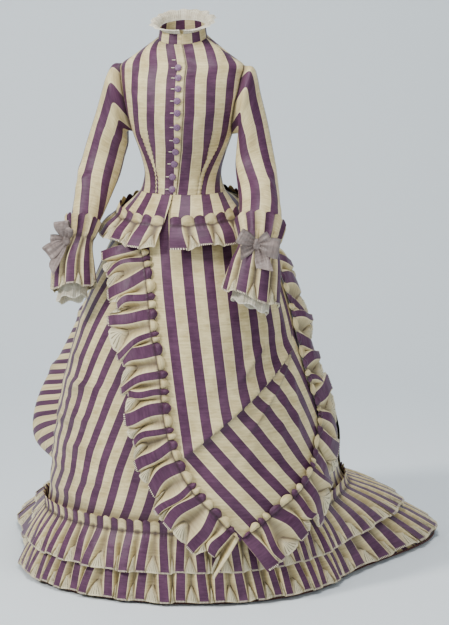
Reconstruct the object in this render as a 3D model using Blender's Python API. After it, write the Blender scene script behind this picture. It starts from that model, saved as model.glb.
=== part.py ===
"""A striped silk visiting dress with bustle and train, hollow, in the pose in which it is worn."""

import math
from collections import namedtuple

import bpy
import numpy as np

# Lengths are in metres. Heights in the tables are above the floor. The front faces -Y, and +X is the
# wearer's left. Angles turn about the body's upright axis: 0 is the front, 90 the wearer's left side.
WEAR_HEIGHT = 1.25
CLOTH = 0.0012
FRILL_CLOTH = 0.0010
LACE_CLOTH = 0.0010
SEAM_HALF_GAP = 0.0002
FRILL_HALF_GAP = 0.0005
LAYER_GAP = 0.0004
DEGREE_STEP = 0.5
HEIGHT_STEP = 0.002
METRES_PER_DEGREE = 0.0050
SMOOTH_ANGLE = math.radians(50)

PURPLE = (0.20, 0.11, 0.24)
CREAM = (0.76, 0.68, 0.48)
TAUPE = (0.30, 0.25, 0.24)

Skirt = namedtuple("Skirt", "height front side back flare")
SKIRT = [
    Skirt(0.000, 0.325, 0.396, 0.870, 0.274),
    Skirt(0.080, 0.315, 0.366, 0.752, 0.180),
    Skirt(0.180, 0.300, 0.340, 0.618, 0.060),
    Skirt(0.320, 0.282, 0.324, 0.565, 0.060),
    Skirt(0.480, 0.256, 0.297, 0.505, 0.032),
    Skirt(0.640, 0.220, 0.254, 0.455, 0.012),
    Skirt(0.760, 0.184, 0.208, 0.395, 0.005),
    Skirt(0.840, 0.152, 0.170, 0.320, 0.0),
    Skirt(0.890, 0.125, 0.138, 0.225, 0.0),
    Skirt(0.925, 0.100, 0.109, 0.125, 0.0),
    Skirt(0.940, 0.0950, 0.1035, 0.0860, 0.0),
    Skirt(0.955, 0.0920, 0.0998, 0.0745, 0.0),
]
# The train spreads between these angles, and its end is this much squarer than an oval.
SPREAD_FROM, SPREAD_TO, TRAIN_POWER = 86.0, 130.0, 0.95

Torso = namedtuple("Torso", "height front side back drop")
TORSO = [
    Torso(0.940, 0.098, 0.108, 0.084, 0.0),
    Torso(0.965, 0.092, 0.098, 0.078, 0.0),
    Torso(0.995, 0.090, 0.094, 0.076, 0.0),
    Torso(1.040, 0.098, 0.105, 0.082, 0.0),
    Torso(1.090, 0.112, 0.123, 0.092, 0.0),
    Torso(1.140, 0.118, 0.138, 0.100, 0.0),
    Torso(1.190, 0.108, 0.149, 0.102, 0.0),
    Torso(1.230, 0.092, 0.154, 0.096, 0.0),
    Torso(1.253, 0.080, 0.151, 0.086, 0.0),
    Torso(1.272, 0.071, 0.124, 0.074, 0.004),
    Torso(1.295, 0.063, 0.092, 0.062, 0.008),
    Torso(1.318, 0.056, 0.060, 0.052, 0.014),
]
WAIST_SEAM = 0.948
NECK_SEAM = 1.318

# The armhole is an oval in the torso's side, at these heights.
ARMHOLE_MIDDLE = 1.170
ARMHOLE_HALF = 0.083
ARMHOLE_TURN = 18.0
ARMHOLE_GAP = 0.0010
ARMHOLE_LEVELS = [1.253, 1.235, 1.205, 1.170, 1.135, 1.105, 1.087]
BODICE_LEVELS = [
    0.948, 0.978, 1.013, 1.050, 1.087, 1.105, 1.135, 1.170, 1.205, 1.235, 1.253, 1.275, 1.297, 1.318,
]
BODICE_COLUMNS = 6

# The front edge of the wearer's right front, which laps over the left.
Closure = namedtuple("Closure", "height angle")
CLOSURE = [
    Closure(0.940, 3.5), Closure(0.990, 6.7), Closure(1.057, 11.3), Closure(1.147, 12.9),
    Closure(1.223, 10.5), Closure(1.318, 11.6),
]

Button = namedtuple("Button", "height angle")
BUTTONS = [
    Button(1.250, 4.0), Button(1.227, 5.1), Button(1.202, 6.0), Button(1.174, 6.3), Button(1.146, 7.1),
    Button(1.112, 7.1), Button(1.080, 6.3), Button(1.052, 4.6), Button(1.022, 2.3), Button(0.990, -1.0),
    Button(0.960, -1.2),
]
BUTTON_RADIUS = 0.0078
BUTTON_PROFILE = [(0.85, 0.0), (1.0, 0.0018), (0.66, 0.0046)]
BUTTON_TOP = 0.0054
BUTTON_GAP = 0.0007
BUTTON_SIDES = 9

# Each ring of a sleeve runs between an outer and an inner point, with a half depth from front to back.
Ring = namedtuple("Ring", "outer_x outer_z inner_x inner_z middle_y depth wave")
SLEEVE_RIGHT = [
    Ring(0.178, 1.246, 0.1400, 1.088, 0.000, 0.053, 0),
    Ring(0.200, 1.190, 0.1390, 1.074, 0.000, 0.052, 0),
    Ring(0.220, 1.125, 0.1380, 1.055, -0.002, 0.050, 0),
    Ring(0.239, 1.065, 0.1460, 1.025, -0.006, 0.048, 0),
    Ring(0.252, 1.010, 0.1540, 0.985, -0.018, 0.047, 0),
    Ring(0.256, 0.965, 0.1640, 0.950, -0.042, 0.045, 0),
    Ring(0.255, 0.920, 0.1740, 0.912, -0.072, 0.040, 0),
    Ring(0.255, 0.880, 0.1860, 0.872, -0.100, 0.034, 0),
    Ring(0.255, 0.845, 0.1940, 0.838, -0.122, 0.030, 0),
    Ring(0.256, 0.818, 0.1990, 0.811, -0.138, 0.028, 0),
]
SLEEVE_LEFT = [
    Ring(0.177, 1.245, 0.1400, 1.088, 0.000, 0.052, 0),
    Ring(0.191, 1.185, 0.1390, 1.072, 0.000, 0.050, 0),
    Ring(0.207, 1.125, 0.1370, 1.050, -0.002, 0.048, 0),
    Ring(0.221, 1.065, 0.1360, 1.015, -0.008, 0.048, 0),
    Ring(0.236, 1.010, 0.1410, 0.985, -0.024, 0.049, 0),
    Ring(0.252, 0.962, 0.1520, 0.955, -0.057, 0.049, 0),
    Ring(0.266, 0.930, 0.1640, 0.925, -0.097, 0.050, 0),
    Ring(0.276, 0.900, 0.1740, 0.895, -0.137, 0.048, 0),
    Ring(0.278, 0.870, 0.1820, 0.865, -0.162, 0.044, 0),
    Ring(0.276, 0.842, 0.1880, 0.838, -0.180, 0.040, 0),
]
SLEEVE_UNDER_COLUMNS = (4, 8)

# Rings of the gathered cuffs, from the lower edge up to the top of the standing heading.
CUFF_RIGHT = [
    Ring(0.282, 0.712, 0.1700, 0.736, -0.172, 0.060, 0.014),
    Ring(0.282, 0.775, 0.1800, 0.785, -0.155, 0.050, 0.010),
    Ring(0.2590, 0.838, 0.1916, 0.834, -0.1265, 0.0335, 0.002),
    Ring(0.270, 0.886, 0.1760, 0.878, -0.102, 0.050, 0.007),
]
CUFF_LEFT = [
    Ring(0.290, 0.706, 0.1500, 0.752, -0.216, 0.064, 0.014),
    Ring(0.290, 0.788, 0.1660, 0.806, -0.202, 0.056, 0.010),
    Ring(0.2803, 0.850, 0.1830, 0.846, -0.1760, 0.0447, 0.002),
    Ring(0.290, 0.897, 0.1610, 0.890, -0.140, 0.062, 0.007),
]
LACE_RIGHT = [
    Ring(0.268, 0.690, 0.1900, 0.706, -0.182, 0.040, 0.004),
    Ring(0.2560, 0.772, 0.2000, 0.772, -0.1580, 0.0290, 0.002),
    Ring(0.2516, 0.826, 0.2032, 0.820, -0.1365, 0.0228, 0.0),
]
LACE_LEFT = [
    Ring(0.266, 0.690, 0.1740, 0.724, -0.224, 0.044, 0.004),
    Ring(0.2710, 0.790, 0.1880, 0.800, -0.2000, 0.0390, 0.002),
    Ring(0.2708, 0.850, 0.1932, 0.846, -0.1760, 0.0345, 0.0),
]
CUFF_WAVES = 8
LACE_WAVES = 5

# One pleat is a flat crest and a groove: a place along the pleat and a share of its depth.
PLEAT = [(0.0, 1.0), (0.45, 1.0), (0.725, 0.0)]

# Rows of a gathered strip on the skirt's surface: height, distance out at the grooves, depth of the pleats.
FlounceRow = namedtuple("FlounceRow", "height out depth")
LOWER_FLOUNCE = [FlounceRow(0.002, 0.0075, 0.019), FlounceRow(0.105, 0.0034, 0.003)]
UPPER_FLOUNCE = [
    FlounceRow(0.070, 0.0135, 0.022),
    FlounceRow(0.165, 0.0021, 0.003),
    FlounceRow(0.194, 0.0075, 0.008),
]
FlouncePiece = namedtuple("FlouncePiece", "name start end waves")
FLOUNCE_PIECES = [
    FlouncePiece("right", -112.0, -38.0, 12),
    FlouncePiece("front", -38.0, 38.0, 11),
    FlouncePiece("left", 38.0, 112.0, 12),
    FlouncePiece("back", 112.0, 248.0, 15),
]
# Under the apron and its frills the upper flounce lies nearly flat.
COVERED_FROM, COVERED_TO, COVERED_EASE, COVERED_SHARE = 4.0, 74.0, 8.0, 0.2

SKIRT_LEVELS = [0.006, 0.055, 0.105, 0.165, 0.200, 0.240, 0.320, 0.480, 0.640, 0.760, 0.840, 0.890, 0.925, 0.940, 0.952]
SkirtPiece = namedtuple("SkirtPiece", "name start end columns")
SKIRT_PIECES = [
    SkirtPiece("skirt_side_right", -112.0, -38.0, 8),
    SkirtPiece("skirt_front", -38.0, 38.0, 5),
    SkirtPiece("skirt_side_left", 38.0, 112.0, 8),
    SkirtPiece("skirt_back", 112.0, 248.0, 10),
]

Edge = namedtuple("Edge", "angle height")
# The gathered edges of the apron, from the lowest point up to the waist.
APRON_EDGE_RIGHT = [
    Edge(33.8, 0.152), Edge(30.3, 0.171), Edge(26.8, 0.199), Edge(22.5, 0.229), Edge(18.8, 0.250),
    Edge(15.0, 0.280), Edge(11.8, 0.310), Edge(8.8, 0.345), Edge(6.6, 0.385), Edge(4.4, 0.430),
    Edge(3.0, 0.480), Edge(2.0, 0.530), Edge(-1.0, 0.590), Edge(-4.6, 0.640), Edge(-6.4, 0.690),
    Edge(-9.6, 0.740), Edge(-14.0, 0.790), Edge(-22.0, 0.836),
]
APRON_EDGE_LEFT = [
    Edge(34.85, 0.152), Edge(39.9, 0.166), Edge(45.8, 0.188), Edge(52.0, 0.212), Edge(61.2, 0.236),
    Edge(70.0, 0.262), Edge(79.0, 0.290), Edge(88.0, 0.322), Edge(94.5, 0.358), Edge(97.0, 0.400),
    Edge(95.5, 0.440), Edge(93.0, 0.490), Edge(92.0, 0.550), Edge(93.5, 0.610), Edge(97.0, 0.680),
    Edge(102.0, 0.750), Edge(107.0, 0.800),
]
# Above the frills the apron's side edges run on under the peplum.
APRON_TOP = 0.932
APRON_TOP_RIGHT = [Edge(-27.0, 0.880), Edge(-30.0, APRON_TOP)]
APRON_TOP_LEFT = [Edge(110.0, 0.870), Edge(112.0, APRON_TOP)]
APRON_COLUMNS = 14
APRON_SHARES = [
    0.0, 0.05, 0.11, 0.18, 0.25, 0.32, 0.39, 0.46, 0.53, 0.60, 0.67, 0.74, 0.80, 0.86, 0.91, 0.96, 1.0,
]
APRON_OUT = 0.006
APRON_TOP_OUT = 0.0024
APRON_LOW_OUT = 0.024
APRON_RISE = (0.225, 0.330)
APRON_SLACK = 0.003
APRON_SLACK_FROM, APRON_SLACK_TO = 0.83, 0.70
# The lower edge sags a little between its gathered edges, and the folds fade out towards them.
APRON_SAG = 0.006
FOLD_FADE = 2.5
FOLD_THINNING = 0.5
# Corners of the gathered lines are rounded over this share of their length.
LINE_SMOOTHING = 0.02

# Folds pulled up towards the gathered point at the wearer's left: angle and height of both ends.
Fold = namedtuple("Fold", "angle height end_angle end_height lift width")
APRON_FOLDS = [
    Fold(80.0, 0.590, 13.0, 0.345, 0.010, 0.022),
    Fold(80.0, 0.590, 40.0, 0.380, 0.009, 0.020),
    Fold(80.0, 0.590, 58.0, 0.545, 0.007, 0.016),
]

# Rows of the apron's frill: distance to the side of the gathered line, distance out, depth of the pleats.
FrillRow = namedtuple("FrillRow", "aside out depth")
APRON_FRILL = [
    FrillRow(0.088, 0.004, 0.024),
    FrillRow(0.042, 0.004, 0.015),
    FrillRow(0.000, 0.0022, 0.003),
    FrillRow(-0.022, 0.0055, 0.010),
]
APRON_FRILL_WAVES = 17
# Where the two frills meet, their headings are narrowed so that they don't cross.
HEADING_PINCH, HEADING_EASE = 0.2, 14.0
# The line's run is measured over this share of its length and this height.
# No frill hangs lower than the last of these.
RUN_SHARE, RUN_HEIGHT, FRILL_LOWEST = 0.012, 0.005, 0.02

PEPLUM_OUT_TOP, PEPLUM_OUT_EDGE = 0.009, 0.021
PEPLUM_GATHER_FRONT, PEPLUM_GATHER_BACK = 0.868, 0.903
PEPLUM_FRILL = [
    FlounceRow(-0.052, 0.027, 0.015),
    FlounceRow(0.000, 0.0226, 0.003),
    FlounceRow(0.018, 0.0265, 0.008),
]
PEPLUM_OPENING_TOP, PEPLUM_OPENING_SLOPE = 0.4, 34.0
PEPLUM_TOP = 0.940
PEPLUM_SHARES = [0.0, 0.33, 0.66, 1.0]
# Each piece runs from its start to its end. None is the edge of the front opening.
PeplumPiece = namedtuple("PeplumPiece", "name start end columns waves")
PEPLUM_PIECES = [
    PeplumPiece("front_right", -104.0, None, 8, 5),
    PeplumPiece("front_left", None, 104.0, 8, 5),
    PeplumPiece("back", 104.0, 256.0, 12, 8),
]

DrapeRow = namedtuple("DrapeRow", "height out")
BACK_DRAPE = [
    DrapeRow(0.206, 0.0090), DrapeRow(0.226, 0.058), DrapeRow(0.266, 0.094), DrapeRow(0.325, 0.100),
    DrapeRow(0.395, 0.088), DrapeRow(0.470, 0.064), DrapeRow(0.560, 0.044), DrapeRow(0.650, 0.032),
    DrapeRow(0.740, 0.024), DrapeRow(0.820, 0.017), DrapeRow(0.880, 0.014), DrapeRow(0.918, 0.0024),
]
DRAPE_START, DRAPE_END = 121.0, 264.0
DRAPE_COLUMNS = 16
DRAPE_FOLDS = 8
DRAPE_FOLD_DEPTH = 0.010
DRAPE_EDGE_OUT = 0.0065
DRAPE_EASE_START, DRAPE_EASE_END = 46.0, 12.0
# The folds have their whole depth where the drape stands this far out.
DRAPE_FULL = 0.02

COLLAR_COLUMNS = 20
COLLAR_RISE = 0.024
COLLAR_SPREAD_LOW, COLLAR_SPREAD_HIGH = 0.99, 0.93
# Turns from the front edge to the collar's and the frill's two ends.
COLLAR_ENDS = (0.3, 359.4)
NECK_FRILL_ENDS = (4.0, 356.0)
NECK_FRILL_WAVES = 14
NeckRow = namedtuple("NeckRow", "spread rise depth")
NECK_FRILL = [NeckRow(0.93, 0.0, 0.0), NeckRow(1.02, 0.50, 0.004), NeckRow(1.22, 1.0, 0.009)]
NECK_FRILL_FRONT, NECK_FRILL_BACK = 0.013, 0.030

# A bow is loops and tails about a knot: direction in its own plane, length, width and puff.
BowPart = namedtuple("BowPart", "turn length width puff lean")
Bow = namedtuple("Bow", "x y z facing parts")
BOW_RIGHT = Bow(0.2400, -0.1722, 0.842, -18.0, [
    BowPart(98.0, 0.044, 0.034, 0.012, 0.30), BowPart(228.0, 0.044, 0.032, 0.012, 0.90),
    BowPart(262.0, 0.066, 0.024, 0.0, 0.92),
])
BOW_LEFT = Bow(0.2400, -0.2320, 0.858, 8.0, [
    BowPart(152.0, 0.046, 0.030, 0.012, 0.25), BowPart(352.0, 0.052, 0.036, 0.012, 0.40),
    BowPart(288.0, 0.058, 0.024, 0.0, 0.55),
])
RIBBON = 0.0016
# Outline of a loop from the side: shares of its length and of its puff.
LOOP_OUTLINE = [
    (0.0, 0.3), (0.3, 1.0), (0.65, 1.2), (0.92, 0.9), (1.0, 0.4), (0.92, 0.0), (0.65, -0.1), (0.3, -0.1),
]
LOOP_MIDDLE = 0.55
LOOP_PINCH, LOOP_SPREAD = 0.45, 1.6
TAIL_LIFT = 0.001
TAIL_PINCH = 0.55
TAIL_STEPS = 4
KNOT_RADII = (0.010, 0.0065, 0.012)
KNOT_LEVELS = (-0.85, -0.4, 0.4, 0.85)
KNOT_SIDES = 8


def start_empty():
    for obj in list(bpy.data.objects):
        bpy.data.objects.remove(obj, do_unlink=True)


def new_material(name, colour):
    material = bpy.data.materials.new(name)
    material.use_nodes = True
    shader = material.node_tree.nodes["Principled BSDF"]
    shader.inputs["Base Color"].default_value = (*colour, 1.0)
    shader.inputs["Roughness"].default_value = 0.5
    return material


def solid_from(name, points, faces, colour):
    """A named object from points above the floor, moved so that its origin is the wearing mount."""
    mesh = bpy.data.meshes.new(name)
    mesh.from_pydata([(p[0], p[1], p[2] - WEAR_HEIGHT) for p in points], [], faces)
    mesh.update()
    mesh.shade_smooth()
    mesh.set_sharp_from_angle(angle=SMOOTH_ANGLE)
    obj = bpy.data.objects.new(name, mesh)
    obj.data.materials.append(new_material("silk_" + name, colour))
    bpy.context.scene.collection.objects.link(obj)
    return obj


def grid_normals(grid, closed):
    """Outward directions of a grid whose columns turn to the wearer's left and whose rows go up."""
    if closed:
        across = np.roll(grid, -1, axis=1) - np.roll(grid, 1, axis=1)
    else:
        across = np.gradient(grid, axis=1)
    normals = np.cross(across, np.gradient(grid, axis=0))
    return normals / np.linalg.norm(normals, axis=2, keepdims=True)


def sheet(name, rows, wall, colour, closed=False, normals=None):
    """A closed thin wall: the grid is its outer face, and the inner face lies one wall inside."""
    outer = np.array(rows, dtype=float)
    inner = outer - (grid_normals(outer, closed) if normals is None else np.array(normals)) * wall
    height, width = outer.shape[:2]
    span = width if closed else width - 1
    points = np.concatenate([outer.reshape(-1, 3), inner.reshape(-1, 3)])
    inside = height * width

    def at(i, j, side=0):
        return side * inside + i * width + j % width

    faces = []
    for i in range(height - 1):
        for j in range(span):
            faces.append((at(i, j), at(i, j + 1), at(i + 1, j + 1), at(i + 1, j)))
            faces.append((at(i, j, 1), at(i + 1, j, 1), at(i + 1, j + 1, 1), at(i, j + 1, 1)))
    top = height - 1
    for j in range(span):
        faces.append((at(0, j), at(0, j, 1), at(0, j + 1, 1), at(0, j + 1)))
        faces.append((at(top, j), at(top, j + 1), at(top, j + 1, 1), at(top, j, 1)))
    if not closed:
        for i in range(top):
            faces.append((at(i, 0), at(i + 1, 0), at(i + 1, 0, 1), at(i, 0, 1)))
            last = width - 1
            faces.append((at(i, last), at(i, last, 1), at(i + 1, last, 1), at(i + 1, last)))
    return solid_from(name, points, faces, colour)


def table_at(rows, height):
    """A smooth curve through a table, read at a height."""
    keys = [row.height for row in rows]
    i = max(0, min(len(rows) - 2, int(np.searchsorted(keys, height)) - 1))
    low, high = rows[i], rows[i + 1]
    before, after = rows[max(i - 1, 0)], rows[min(i + 2, len(rows) - 1)]
    span = high.height - low.height
    t = (height - low.height) / span
    values = [height]
    for a, b, c, d in zip(before[1:], low[1:], high[1:], after[1:]):
        start = (c - a) / (high.height - before.height) * span
        end = (d - b) / (after.height - low.height) * span
        values.append(
            (2 * t**3 - 3 * t**2 + 1) * b + (t**3 - 2 * t**2 + t) * start
            + (3 * t**2 - 2 * t**3) * c + (t**3 - t**2) * end
        )
    return type(low)(*values)


def skirt_point(angle, height):
    row = table_at(SKIRT, height)
    turn = math.radians(angle)
    s, c = math.sin(turn), math.cos(turn)
    from_front = abs((angle + 180) % 360 - 180)
    width = row.side + row.flare * eased(from_front, SPREAD_FROM, SPREAD_TO)
    if c >= 0:
        return np.array([width * s, -row.front * c, height])
    power = between(1.0, TRAIN_POWER, min(1.0, row.flare / 0.2))
    return np.array([math.copysign(abs(s) ** power, s) * width, -row.back * c, height])


def torso_point(angle, height):
    row = table_at(TORSO, height)
    turn = math.radians(angle)
    s, c = math.sin(turn), math.cos(turn)
    return np.array([row.side * s, -(row.front if c >= 0 else row.back) * c, height - row.drop * c])


def normal_at(surface, angle, height):
    across = surface(angle + DEGREE_STEP, height) - surface(angle - DEGREE_STEP, height)
    up = surface(angle, height + HEIGHT_STEP) - surface(angle, height - HEIGHT_STEP)
    normal = np.cross(across, up)
    return normal / np.linalg.norm(normal)


def outward(surface, angle, height, out):
    return surface(angle, height) + normal_at(surface, angle, height) * out


def gap_angle(surface, angle, height, gap=SEAM_HALF_GAP):
    """Half of a seam's gap, as a turn at this place."""
    step = surface(angle + DEGREE_STEP, height) - surface(angle - DEGREE_STEP, height)
    return gap / np.linalg.norm(step) * 2 * DEGREE_STEP


def between(low, high, share):
    return low + (high - low) * share


def eased(value, low, high):
    t = min(max((value - low) / (high - low), 0.0), 1.0)
    return t * t * (3 - 2 * t)


def back_share(angle):
    """0 at the front and 1 at the back."""
    return (1 - math.cos(math.radians(angle))) / 2


def closure_angle(height):
    return float(np.interp(height, [row.height for row in CLOSURE], [row.angle for row in CLOSURE]))


def armhole_turn(height):
    """How far the armhole's edge lies from the side at this height, in degrees."""
    share = (height - ARMHOLE_MIDDLE) / ARMHOLE_HALF
    return ARMHOLE_TURN * math.sqrt(max(0.0, 1 - share * share))


def panel_angles(start, end, height):
    first = start(height) + gap_angle(torso_point, start(height), height)
    last = end(height) - gap_angle(torso_point, end(height), height)
    return np.linspace(first, last, BODICE_COLUMNS + 1)


def flat_point(angle, height):
    """The point of the wearer's right front that its flat faces give, where a button sits."""
    above = next(i for i, level in enumerate(BODICE_LEVELS) if level >= height)
    ends = []
    for level in (BODICE_LEVELS[above - 1], BODICE_LEVELS[above]):
        angles = panel_angles(right_side_edge, closure_angle, level)
        points = np.array([torso_point(a, level) for a in angles])
        ends.append([np.interp(angle, angles, points[:, axis]) for axis in range(3)])
    share = (height - BODICE_LEVELS[above - 1]) / (BODICE_LEVELS[above] - BODICE_LEVELS[above - 1])
    return between(np.array(ends[0]), np.array(ends[1]), share)


def right_side_edge(height):
    return -90 + armhole_turn(height)


def bodice_panel(name, start, end):
    """A bodice panel between two edges, each an angle that depends on the height."""
    rows, normals = [], []
    for height in BODICE_LEVELS:
        angles = panel_angles(start, end, height)
        rows.append([torso_point(angle, height) for angle in angles])
        normals.append([normal_at(torso_point, angle, height) for angle in angles])
    return sheet(name, rows, CLOTH, PURPLE, normals=normals)


def make_bodice():
    bodice_panel("bodice_front_right", right_side_edge, closure_angle)
    bodice_panel("bodice_front_left", closure_angle, lambda h: 90 - armhole_turn(h))
    bodice_panel("bodice_back_left", lambda h: 90 + armhole_turn(h), lambda h: 180)
    bodice_panel("bodice_back_right", lambda h: 180, lambda h: 270 - armhole_turn(h))


def neck_point(angle, spread, rise):
    """A point above the neck seam, drawn in or spread out about the neck."""
    base = torso_point(angle, NECK_SEAM)
    return np.array([base[0] * spread, base[1] * spread, base[2] + LAYER_GAP + rise])


def make_collar():
    start = closure_angle(NECK_SEAM)
    angles = np.linspace(start + COLLAR_ENDS[0], start + COLLAR_ENDS[1], COLLAR_COLUMNS + 1)
    rows = []
    for t in (0, 0.5, 1):
        spread = between(COLLAR_SPREAD_LOW, COLLAR_SPREAD_HIGH, t)
        rows.append([neck_point(angle, spread, COLLAR_RISE * t) for angle in angles])
    sheet("collar_band", rows, CLOTH, CREAM)


def make_neck_frill():
    start = closure_angle(NECK_SEAM)
    rows = []
    for row in NECK_FRILL:
        points = []
        for place, share in pleat_places(NECK_FRILL_WAVES):
            angle = start + between(*NECK_FRILL_ENDS, place)
            tall = between(NECK_FRILL_FRONT, NECK_FRILL_BACK, back_share(angle))
            point = neck_point(angle, row.spread, COLLAR_RISE + LAYER_GAP + tall * row.rise)
            turn = math.radians(angle)
            aside = row.depth * (share - 0.5)
            points.append(point + np.array([math.sin(turn) * aside, -math.cos(turn) * aside, 0]))
        rows.append(points)
    sheet("neck_frill", rows, LACE_CLOTH, CREAM)


def pleat_places(waves):
    """Places along a gathered strip, from 0 to 1, and the share of the pleat's depth at each."""
    places = [((wave + place) / waves, share) for wave in range(waves) for place, share in PLEAT]
    return places + [(1.0, PLEAT[0][1])]


def ring_turns():
    """Turns about a sleeve that match the armhole's levels: 0 is the top, 90 the front."""
    shares = [(level - ARMHOLE_MIDDLE) / ARMHOLE_HALF for level in ARMHOLE_LEVELS]
    turns = [math.degrees(math.acos(max(-1.0, min(1.0, share)))) for share in shares]
    return turns + [360 - turn for turn in reversed(turns[1:-1])]


def armhole_ring(side):
    points = []
    for level, back in [(v, False) for v in ARMHOLE_LEVELS] + [(v, True) for v in ARMHOLE_LEVELS[-2:0:-1]]:
        turn = armhole_turn(level)
        point = torso_point(90 + turn if back else 90 - turn, level)
        points.append(np.array([(point[0] + ARMHOLE_GAP) * side, point[1], point[2]]))
    return points


def ring_frame(ring, ahead, side):
    """Centre, outer half axis and forward half axis of a ring, with the next ring ahead for its direction."""
    outer = np.array([ring.outer_x * side, ring.middle_y, ring.outer_z])
    inner = np.array([ring.inner_x * side, ring.middle_y, ring.inner_z])
    centre, reach = (outer + inner) / 2, (outer - inner) / 2
    forward = np.cross(ahead, reach)
    forward /= np.linalg.norm(forward)
    if forward[1] > 0:
        forward = -forward
    return centre, reach, forward * ring.depth


def ring_centres(rings, side):
    return [
        np.array([(r.outer_x + r.inner_x) / 2 * side, r.middle_y, (r.outer_z + r.inner_z) / 2]) for r in rings
    ]


def ring_points(rings, side, places):
    """Rows of points round a set of rings. Each place is a turn and the share of the wave's depth."""
    centres = ring_centres(rings, side)
    rows = []
    for i, ring in enumerate(rings):
        ahead = centres[min(i + 1, len(rings) - 1)] - centres[max(i - 1, 0)]
        centre, reach, forward = ring_frame(ring, ahead, side)
        wide, deep = np.linalg.norm(reach), np.linalg.norm(forward)
        row = []
        for turn, share in places:
            back = ring.wave * (1 - share)
            t = math.radians(turn)
            outwards = reach * (1 - back / wide) * math.cos(t)
            row.append(centre + outwards + forward * (1 - back / deep) * math.sin(t))
        rows.append(row)
    return rows


def ordered(rows, side):
    """Rows from the lowest up, with columns that turn the way that faces out."""
    rows = [list(row) for row in rows]
    return [row[::-1] for row in rows] if side > 0 else rows


def make_sleeve(side, word, rings):
    turns = ring_turns()
    tube = [armhole_ring(side)] + ring_points(rings, side, [(turn, 1.0) for turn in turns])
    tube = np.array(tube[::-1])
    first, last = SLEEVE_UNDER_COLUMNS
    count = len(turns)
    under = list(range(first, last + 1))
    upper = [j % count for j in range(last, count + first + 1)]
    normals = grid_normals(tube, True) * -side
    for kind, columns in (("upper", upper), ("under", under)):
        piece = tube[:, columns].copy()
        for end, beside in ((0, 1), (-1, -2)):
            step = piece[:, beside] - piece[:, end]
            piece[:, end] += step / np.linalg.norm(step, axis=1, keepdims=True) * SEAM_HALF_GAP
        facing = ordered(normals[:, columns], side)
        sheet("sleeve_" + kind + "_" + word, ordered(piece, side), CLOTH, PURPLE, normals=facing)


def make_cuff(side, word, rings, lace):
    places = [(360 * place, share) for place, share in pleat_places(CUFF_WAVES)[:-1]]
    rows = ordered(ring_points(rings, side, places), side)
    sheet("cuff_flounce_" + word, rows, FRILL_CLOTH, PURPLE, closed=True)
    places = [(360 * place, share) for place, share in pleat_places(LACE_WAVES)[:-1]]
    rows = ordered(ring_points(lace, side, places), side)
    sheet("cuff_lace_" + word, rows, LACE_CLOTH, CREAM, closed=True)


def part_directions(part, axes):
    """Along and across a loop or a tail, in the bow's own plane."""
    right, _, up = axes
    turn = math.radians(part.turn)
    return right * math.cos(turn) + up * math.sin(turn), up * math.cos(turn) - right * math.sin(turn)


def tail_solid(part, origin, axes, name):
    """A flat ribbon end that widens away from the knot."""
    along, across = part_directions(part, axes)
    top = [(a, TAIL_LIFT + part.lean * a) for a in np.linspace(0.0, part.length, TAIL_STEPS)]
    path = top + [(a, lift - RIBBON) for a, lift in reversed(top)]
    count = len(path)
    points = []
    for side in (-1.0, 1.0):
        for a, lift in path:
            half = side * part.width / 2 * between(TAIL_PINCH, 1.0, a / part.length)
            points.append(origin + along * a + axes[1] * lift + across * half)
    faces = [(k, (k + 1) % count, count + (k + 1) % count, count + k) for k in range(count)]
    faces += [tuple(range(count))[::-1], tuple(range(count, 2 * count))]
    return solid_from(name, points, faces, TAUPE)


def loop_solid(part, origin, axes, name):
    """A ribbon loop: its outline seen from the side, swept across its width, with a wall inside."""
    along, across = part_directions(part, axes)
    path = [(a * part.length, lift * part.puff + part.lean * a * part.length) for a, lift in LOOP_OUTLINE]
    middle = np.array([part.length, part.puff + part.lean * part.length]) * LOOP_MIDDLE
    count, shares = len(path), (-1.0, 0.0, 1.0)
    points, faces = [], []
    for wall in (0.0, RIBBON):
        for share in shares:
            for a, lift in path:
                offset = np.array([a, lift]) - middle
                a_in, lift_in = middle + offset - offset / np.linalg.norm(offset) * wall
                spread = between(LOOP_PINCH, 1.0, min(1.0, a_in / part.length * LOOP_SPREAD))
                half = share * part.width / 2 * spread
                points.append(origin + along * a_in + axes[1] * lift_in + across * half)
    layer, last = count * len(shares), (len(shares) - 1) * count
    for k in range(count):
        n = (k + 1) % count
        for i in range(len(shares) - 1):
            a, b, c, d = i * count + k, i * count + n, (i + 1) * count + n, (i + 1) * count + k
            faces.append((a, b, c, d))
            faces.append((layer + a, layer + d, layer + c, layer + b))
        faces.append((k, layer + k, layer + n, n))
        faces.append((last + k, last + n, layer + last + n, layer + last + k))
    return solid_from(name, points, faces, TAUPE)


def knot_solid(name, origin, axes):
    right, normal, up = axes
    points, faces = [], []
    sides, rings = KNOT_SIDES, KNOT_LEVELS
    for level in rings:
        reach = math.sqrt(1 - level * level)
        for k in range(sides):
            t = 2 * math.pi * k / sides
            points.append(
                origin + right * KNOT_RADII[0] * reach * math.cos(t)
                + normal * KNOT_RADII[1] * reach * math.sin(t) + up * KNOT_RADII[2] * level
            )
    for i in range(len(rings) - 1):
        for k in range(sides):
            n = (k + 1) % sides
            faces.append((i * sides + k, i * sides + n, (i + 1) * sides + n, (i + 1) * sides + k))
    faces.append(tuple(range(sides))[::-1])
    faces.append(tuple(range((len(rings) - 1) * sides, len(rings) * sides)))
    return solid_from(name, points, faces, TAUPE)


def face_out(obj):
    """Turns the faces outwards where the sweep ran the other way."""
    bpy.context.view_layer.objects.active = obj
    bpy.ops.object.select_all(action="DESELECT")
    obj.select_set(True)
    bpy.ops.object.mode_set(mode="EDIT")
    bpy.ops.mesh.select_all(action="SELECT")
    bpy.ops.mesh.normals_make_consistent(inside=False)
    bpy.ops.object.mode_set(mode="OBJECT")


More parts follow.
